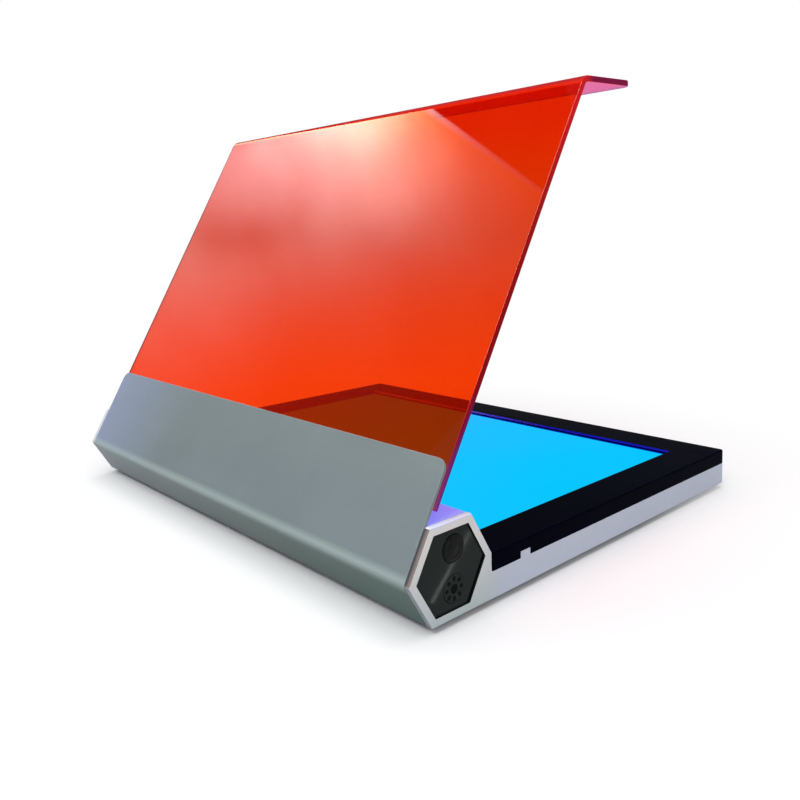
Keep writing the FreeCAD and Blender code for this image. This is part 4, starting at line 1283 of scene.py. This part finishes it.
# Along the edge, painted light: purple low down near the window, crimson in the middle, a brighter red high up
edge_glow_tone = tone_ramp(
    tree,
    up,
    (0.0, paint(128, 52, 104)),
    (0.08, paint(112, 36, 92)),
    (0.16, paint(104, 10, 54)),
    (0.26, paint(118, 3, 12)),
    (0.5, paint(130, 5, 10)),
    (0.7, paint(152, 14, 12)),
    (0.9, paint(190, 24, 28)),
)
out_of_line = reckon(tree, "SUBTRACT", sheet_bend.y, apart[1])
out_of_line = reckon(tree, "MULTIPLY", out_of_line, HEX_FLAT / HEX_RADIUS)
rise = reckon(tree, "MULTIPLY", reckon(tree, "SUBTRACT", apart[2], HINGE_Z), 0.5)
deep = reckon(tree, "SUBTRACT", out_of_line, rise)
# Near the window the inner side of the edge is painted blue: painted light from the window
near_window = reckon(
    tree,
    "MULTIPLY",
    spread(tree, deep, AMBER_DEPTH + 0.8 * MM, AMBER_DEPTH + AMBER),
    spread(tree, up, 0.24, 0.1),
)
edge_glow_tone = blend_colours(tree, near_window, edge_glow_tone, paint(44, 34, 122))
on_lip = spread(tree, apart[1], amber_fold.y - 2 * MM, amber_fold.y - 8 * MM)
edge_glow_tone = blend_colours(tree, on_lip, edge_glow_tone, paint(108, 16, 58))
paint_over(tree, shader, 0.85, edge_glow_tone)
# The edge glows with its own colour: painted light that runs inside the sheet
light_up(tree, shader, colour_of(shader), 0.45)

# %% [markdown]
# ## Metals
# The cover sheet is bead blasted: thousands of tiny dents scatter the light, so it is grey and soft. It carries
# painted light and shade: a bluish reflection at its far end, shade on its lower face, a highlight along the bend
# and on its edges.
# The barrel keeps the long lines of its die under a satin anodised skin, with a painted highlight on its edges and
# a painted blue glow of the window's light on its upper faces, and screws are plain steel.

# %% Metals
blasted, tree, shader = surface(
    "blasted_aluminium",
    paint(146, 160, 163),
    paint(136, 150, 153),
    (0.44, 0.52),
    grain=0.45 * MM,
    bump=0.08 * MM,
    marks=55 * MM,
    metallic=0.4,
)
apart = axes(tree)
# Towards the far end the sheet turns bluish lilac: a painted reflection
far_end_reflection = spread(tree, apart[0], 0.4 * COVER_HALF, COVER_HALF, 0.0, 0.8)
paint_over(tree, shader, far_end_reflection, paint(168, 182, 214))
# The lower face is painted in light and shade: greenish grey at the near end, paler at the far end
under_bend = spread(tree, apart[2], HINGE_Z + MM, HINGE_Z - MM)
under_far = spread(tree, apart[0], -COVER_HALF, COVER_HALF, 0.0, 1.0)
underside_light_tone = blend_colours(tree, under_far, paint(122, 149, 137), paint(190, 199, 198))
paint_over(tree, shader, reckon(tree, "MULTIPLY", under_bend, 0.85), underside_light_tone)
# A pale band along the bend: a painted highlight on the ridge, not stretched metal
stretched = spread(tree, apart[1], sheet_bend.y - 2.4 * MM, sheet_bend.y - 0.9 * MM, 0.0, 0.5)
paint_over(tree, shader, stretched, paint(200, 218, 214))
# Edges get a painted highlight
add_edge_highlight(blasted, tree, shader, paint(196, 204, 208), 0.6 * MM, 0.6)
silver, tree, shader = surface(
    "silver_aluminium", paint(198, 202, 226), paint(188, 193, 219), (0.28, 0.38), metallic=0.4
)
lines = effect(silver, die_lines, "Height", Size=0.5 * MM)
relief = put(tree, "Bump", {"Height": lines, "Strength": 1.0, "Distance": 0.02 * MM})
tree.links.new(relief.outputs[0], shader.inputs["Normal"])
# Edges get a painted highlight
add_edge_highlight(silver, tree, shader, paint(236, 232, 250), 0.5 * MM, 0.6)
# Faces that look up glow blue: painted light of the window, bounced off the filter
upward_face = axes(tree, put(tree, "NewGeometry").outputs["Normal"])[2]
cloud = effect(silver, handling, "Cloud", Size=70 * MM)
painted_window_blue = blend_colours(tree, cloud, (0.12, 0.1, 0.72, 1.0), (0.08, 0.14, 0.74, 1.0))
glow = blend_colours(tree, spread(tree, upward_face, 0.7, 0.97), (0.0, 0.0, 0.0, 1.0), painted_window_blue)
light_up(tree, shader, glow)
surface("steel", paint(178, 178, 180), paint(158, 158, 160), (0.22, 0.36), bump=0.01 * MM, metallic=1.0)
surface("brass_pin", paint(224, 190, 118), paint(206, 168, 96), (0.18, 0.3), bump=0.01 * MM, metallic=1.0)

# %% Plastics, rubber and boards
panel, tree, shader = surface(
    "dark_panel", paint(27, 35, 32), paint(33, 41, 38), (0.07, 0.14), grain=20 * MM, bump=0.01 * MM,
    specular_ior_level=0.22,
)
add_dust(panel, tree, shader, 2.5 * MM, 0.12)
apart = axes(tree)
forward = reckon(tree, "SUBTRACT", HINGE_Y, apart[1])
forward = reckon(tree, "MULTIPLY", forward, math.cos(math.radians(30)))
rise = reckon(tree, "MULTIPLY", reckon(tree, "SUBTRACT", apart[2], HINGE_Z), 0.5)
PANEL_FLAT = PANEL_RADIUS * math.cos(math.radians(30))
from_middle = reckon(tree, "SUBTRACT", forward, rise)
in_shadow = spread(tree, from_middle, PANEL_FLAT - 1.3 * MM, PANEL_FLAT - 0.7 * MM)
paint_over(tree, shader, in_shadow, paint(4, 6, 8))
surface(
    "button_black", paint(9, 11, 11), paint(12, 15, 15), (0.1, 0.18), bump=0.01 * MM, specular_ior_level=0.15
)
surface(
    "symbol_ink", paint(3, 4, 4), paint(6, 8, 8), (0.5, 0.62), bump=0.01 * MM, specular_ior_level=0.1
)
surface(
    "power_ink", paint(10, 13, 13), paint(13, 16, 16), (0.34, 0.44), bump=0.01 * MM, specular_ior_level=0.2
)
surface("opal_acrylic", paint(196, 222, 240), paint(186, 214, 236), (0.3, 0.4))
surface("white_plastic", paint(236, 236, 232), paint(226, 226, 222), (0.42, 0.55), bump=0.04 * MM)
surface("black_plastic", paint(26, 26, 28), paint(33, 33, 35), (0.42, 0.56), grain=0.5 * MM, bump=0.05 * MM)
surface("rubber_black", paint(22, 22, 22), paint(31, 30, 30), (0.7, 0.85), grain=0.6 * MM, bump=0.07 * MM)
surface("bond_tape", paint(58, 58, 58), paint(70, 69, 68), (0.6, 0.75))
surface("cable_jacket", paint(24, 24, 25), paint(32, 32, 33), (0.45, 0.6))
surface("led_lens", paint(196, 214, 246), paint(184, 204, 240), (0.12, 0.2), bump=0.01 * MM)
board, tree, shader = surface("circuit_board", paint(24, 92, 52), paint(18, 78, 44), (0.3, 0.42))
tracks = put(
    tree,
    "TexWave",
    {"Vector": put(tree, "TexCoord").outputs["Object"], "Scale": 120.0, "Distortion": 9.0, "Detail": 1.0},
    bands_direction="DIAGONAL",
).outputs["Fac"]
track = spread(tree, tracks, 0.82, 0.9, 0.0, 0.45)
paint_over(tree, shader, track, paint(70, 140, 80))
print("materials:", len(materials))

# %% [markdown]
# ## Hand out the finishes
# Each part names its finish, and so does each new piece. A few pieces show a second or third material
# on some of their faces, whose slots were made while they were modelled.

# %% Finishes on parts and pieces
for entry in frame["record"]["subparts"]:
    part = parts[entry["node"]]
    part.data.materials.clear()
    part.data.materials.append(materials[entry["material_slot"]])
for slot, pieces in dressed.items():
    for piece in pieces:
        if not piece.data.materials:
            piece.data.materials.append(materials[slot])
        else:
            piece.data.materials[0] = materials[slot]
for plate in (side_plate_left, side_plate_right):
    plate.data.materials[1] = cut_edge
    plate.data.materials[2] = recess
amber_filter.data.materials[1] = amber_edge
black_frame.data.materials[1] = chamfer
power_cap.data.materials[0] = materials["button_black"]
power_mark.data.materials[0] = materials["power_ink"]
sun_mark.data.materials[0] = materials["symbol_ink"]

# %% [markdown]
# ## Studio
# A pale table and an even room, with one soft lamp above and a tall soft window of light at the far end,
# which is what the amber sheet mirrors. The camera, glass and gloss see the white of the background by
# the kind of ray, so the lamps stay at a plain level. One thin strip of light on the table is mirrored in
# the control panel. It lets rays from further away pass, so that nothing else shows it.


# %% Table
def bare_material(name):
    """A material without any node, and its tree."""
    material = bpy.data.materials.new(name)
    material.use_nodes = True
    material.node_tree.nodes.clear()
    return material, material.node_tree


table = start("table", bpy.ops.mesh.primitive_plane_add, size=16)
bpy.ops.object.mode_set(mode="OBJECT")
pale, tree = bare_material("pale_table")
light = put(tree, "LightPath")
place = put(tree, "TexCoord").outputs["Object"]
behind = put(tree, "VectorMath", {0: place, 1: (0.0, 0.1, 0.0)}, operation="DISTANCE").outputs["Value"]
far = spread(tree, behind, 0.21, 0.42)
seen = reckon(tree, "MAXIMUM", light.outputs["Is Camera Ray"], light.outputs["Is Transmission Ray"])
lit_table = put(tree, "BsdfDiffuse", {"Color": (0.9, 0.9, 0.9, 1.0)})
bounce_table = put(tree, "BsdfDiffuse", {"Color": (0.36, 0.36, 0.37, 1.0)})
shaded = put(tree, "MixShader", {0: seen, 1: bounce_table.outputs[0], 2: lit_table.outputs[0]})
white_light = put(tree, "Emission", {"Color": (1.0, 1.0, 1.0, 1.0), "Strength": 1.0})
far_seen = reckon(tree, "MULTIPLY", far, seen)
whole = put(tree, "MixShader", {0: far_seen, 1: shaded.outputs[0], 2: white_light.outputs[0]})
end = put(tree, "OutputMaterial", {"Surface": whole.outputs[0]})
table.data.materials.append(pale)

# %% Room
room = bpy.data.worlds.new("room")
room.use_nodes = True
tree = room.node_tree
tree.nodes.clear()
light = put(tree, "LightPath")
way = put(tree, "TexCoord").outputs["Generated"]
rise = axes(tree, way)[2]
LOW_WHITE = math.sin(math.radians(3))
LOW_END = math.sin(math.radians(7))
HIGH_START = math.sin(math.radians(55))
HIGH_WHITE = math.sin(math.radians(70))
low_band = spread(tree, rise, LOW_END, LOW_WHITE)
high_band = spread(tree, rise, HIGH_START, HIGH_WHITE, 0.0, 0.8)
bands = reckon(tree, "MAXIMUM", low_band, high_band)
mirrored = reckon(tree, "MULTIPLY", bands, light.outputs["Is Glossy Ray"])
seen = reckon(tree, "MAXIMUM", light.outputs["Is Camera Ray"], light.outputs["Is Transmission Ray"])
seen = reckon(tree, "MAXIMUM", seen, mirrored)
even = put(tree, "Background", {"Color": (0.95, 0.97, 1.0, 1.0), "Strength": 0.55})
dim = put(tree, "Background", {"Color": (0.9, 0.95, 1.0, 1.0), "Strength": 0.07})
bright = put(tree, "Background", {"Color": (1.0, 1.0, 1.0, 1.0), "Strength": 1.0})
other = put(tree, "MixShader", {0: light.outputs["Is Glossy Ray"], 1: even.outputs[0], 2: dim.outputs[0]})
whole = put(tree, "MixShader", {0: seen, 1: other.outputs[0], 2: bright.outputs[0]})
put(tree, "OutputWorld", {"Surface": whole.outputs[0]})
bpy.context.scene.world = room


# %% Lamps
def area_lamp(name, at, towards, size, watts, colour=(1.0, 1.0, 1.0)):
    """A soft rectangular lamp that the camera doesn't see."""
    data = bpy.data.lights.new(name, "AREA")
    data.shape = "RECTANGLE"
    data.size, data.size_y = size
    data.energy = watts
    data.color = colour
    lamp = bpy.data.objects.new(name, data)
    bpy.context.scene.collection.objects.link(lamp)
    lamp.location = at
    lamp.rotation_euler = (Vector(towards) - Vector(at)).to_track_quat("-Z", "Y").to_euler()
    lamp.visible_camera = False
    lamp.visible_transmission = False
    return lamp


overhead = area_lamp("overhead", (0.1, -0.1, 1.6), (0, 0, 0), (1.6, 1.6), 9.0)
overhead.visible_glossy = False
area_lamp("rear_key", (-0.25, 1.05, 1.5), (0, 0.1, 0.05), (0.9, 0.9), 15.0)
side_lamp = area_lamp("side_lamp", (-1.5, 0.5, 0.9), (0, 0, 0.05), (1.0, 1.0), 4.5)
side_lamp.visible_glossy = False
window_glow = area_lamp(
    "window_glow", window_middle + Vector((0, 0, 3 * MM)), window_middle + Vector((0, 0, 1)),
    (WINDOW_SIZE.x, WINDOW_SIZE.y), 0.12, (0.1, 0.35, 1.0)
)
window_glow.visible_glossy = False

# %% Soft light mirrored in the filter
SOFTBOX_AT = (1.2, 0.45, 1.1)
softbox = start(
    "softbox",
    bpy.ops.mesh.primitive_plane_add,
    size=1,
    location=SOFTBOX_AT,
    rotation=(0, math.radians(-90), 0),
)
bpy.ops.mesh.select_all(action="SELECT")
bpy.ops.transform.resize(value=(1, 1.5, 1.8), center_override=SOFTBOX_AT)
bpy.ops.object.mode_set(mode="OBJECT")
softbox.visible_camera = False
softbox.visible_diffuse = False
softbox.visible_transmission = False
glowing, tree = bare_material("softbox_cloth")
place = put(tree, "TexCoord").outputs["Object"]
parting = axes(tree, place)
EDGE_FROM = (0.391, 1.414)
EDGE_TO = (0.830, 1.738)
edge_slope = (EDGE_TO[1] - EDGE_FROM[1]) / (EDGE_TO[0] - EDGE_FROM[0])
line_height = reckon(tree, "MULTIPLY_ADD", parting[1], edge_slope)
line_height.node.inputs[2].default_value = EDGE_FROM[1] - edge_slope * EDGE_FROM[0]
under_line = reckon(tree, "SUBTRACT", line_height, parting[2])
below = spread(tree, under_line, -0.003, 0.005)
warm_in = spread(tree, under_line, 0.0, 0.03)
warm_out = spread(tree, under_line, 0.5, 0.02)
warm_side = spread(tree, parting[1], 0.86, 0.42, 0.35, 1.0)
warm_share = reckon(tree, "MULTIPLY", reckon(tree, "MULTIPLY", warm_in, warm_out), 0.9)
# Each spot is its strength, its place along Y and Z, and how far it spreads along each
SOFT_SPOTS = [
    (0.55, 0.520, 1.401, 0.414, 0.253),
    (11.45, 0.050, 1.186, 0.377, 0.217),
    (1.77, -0.074, 0.912, 0.530, 0.189),
    (1.00, 0.330, 0.674, 0.236, 0.328),
    (5.00, 0.235, 1.080, 0.100, 0.085),
    (-0.50, 0.335, 0.665, 0.060, 0.060),
    (-0.55, 0.385, 0.745, 0.060, 0.070),
    (-0.40, 0.430, 0.835, 0.060, 0.070),
    (9.00, 0.293, 1.300, 0.095, 0.157),
    (-3.00, 0.274, 1.084, 0.093, 0.090),
    (-1.30, 0.186, 0.846, 0.032, 0.040),
    (1.34, 0.529, 1.299, 0.106, 0.156),
]
light_sum = 0.0
for power, spot_y, spot_z, wide, high in SOFT_SPOTS:
    offsets = []
    for axis, spot, width in ((1, spot_y, wide), (2, spot_z, high)):
        offset = reckon(tree, "DIVIDE", reckon(tree, "SUBTRACT", parting[axis], spot), width)
        offsets.append(reckon(tree, "POWER", offset, 2.0))
    off = reckon(tree, "ADD", *offsets)
    fade = reckon(tree, "EXPONENT", reckon(tree, "MULTIPLY", off, -1.0))
    light_sum = reckon(tree, "ADD", reckon(tree, "MULTIPLY", fade, power), light_sum)
fold_turn = (math.radians(35), 0, 0)
folds = put(tree, "Mapping", {"Vector": place, "Rotation": fold_turn, "Scale": (1.0, 1.0, 1.8)})
cloth = put(tree, "TexNoise", {"Vector": folds.outputs[0], "Scale": 3.0, "Detail": 4.0, "Roughness": 0.55})
uneven = spread(tree, cloth.outputs["Fac"], 0.3, 0.7, 0.82, 1.18)
strength = reckon(tree, "MULTIPLY", reckon(tree, "MULTIPLY", light_sum, uneven), below)
fill = reckon(tree, "MULTIPLY", warm_share, reckon(tree, "MULTIPLY", warm_side, 2.6))
strength = reckon(tree, "ADD", strength, reckon(tree, "MULTIPLY", fill, below))
tint = blend_colours(tree, warm_share, (1.0, 1.0, 1.0, 1.0), (1.0, 0.34, 0.06, 1.0))
glow = put(tree, "Emission", {"Color": tint, "Strength": strength})
put(tree, "OutputMaterial", {"Surface": glow.outputs[0]})
softbox.data.materials.append(glowing)

# %% Thin light mirrored in the control panel
LINE_FROM = Vector((-0.2229, 0.0279, 0.0004))
LINE_TO = Vector((-0.1793, 0.0989, 0.0004))
LINE_WIDTH = 1.5 * MM
LINE_REACH = 110 * MM
line_way = LINE_TO - LINE_FROM
line_middle = (LINE_FROM + LINE_TO) / 2
light_line = start("light_line", bpy.ops.mesh.primitive_plane_add, size=1, location=line_middle)
bpy.ops.mesh.select_all(action="SELECT")
bpy.ops.transform.resize(value=(line_way.length, LINE_WIDTH, 1), center_override=line_middle)
line_turn = -math.atan2(line_way.y, line_way.x)
bpy.ops.transform.rotate(value=line_turn, orient_axis="Z", center_override=line_middle)
bpy.ops.object.mode_set(mode="OBJECT")
for ray_kind in ("visible_camera", "visible_diffuse", "visible_transmission", "visible_shadow"):
    setattr(light_line, ray_kind, False)
line_light, tree = bare_material("light_line")
way = put(tree, "LightPath").outputs["Ray Length"]
in_reach = spread(tree, way, LINE_REACH, LINE_REACH - 6 * MM)
glow = put(tree, "Emission", {"Color": (1.0, 1.0, 1.0, 1.0), "Strength": 3.0})
nothing = put(tree, "BsdfTransparent")
shown = put(tree, "MixShader", {0: in_reach, 1: nothing.outputs[0], 2: glow.outputs[0]})
put(tree, "OutputMaterial", {"Surface": shown.outputs[0]})
light_line.data.materials.append(line_light)
print("thin light:", round(line_way.length * 1000, 1), "mm long, seen within", round(LINE_REACH * 1000), "mm")
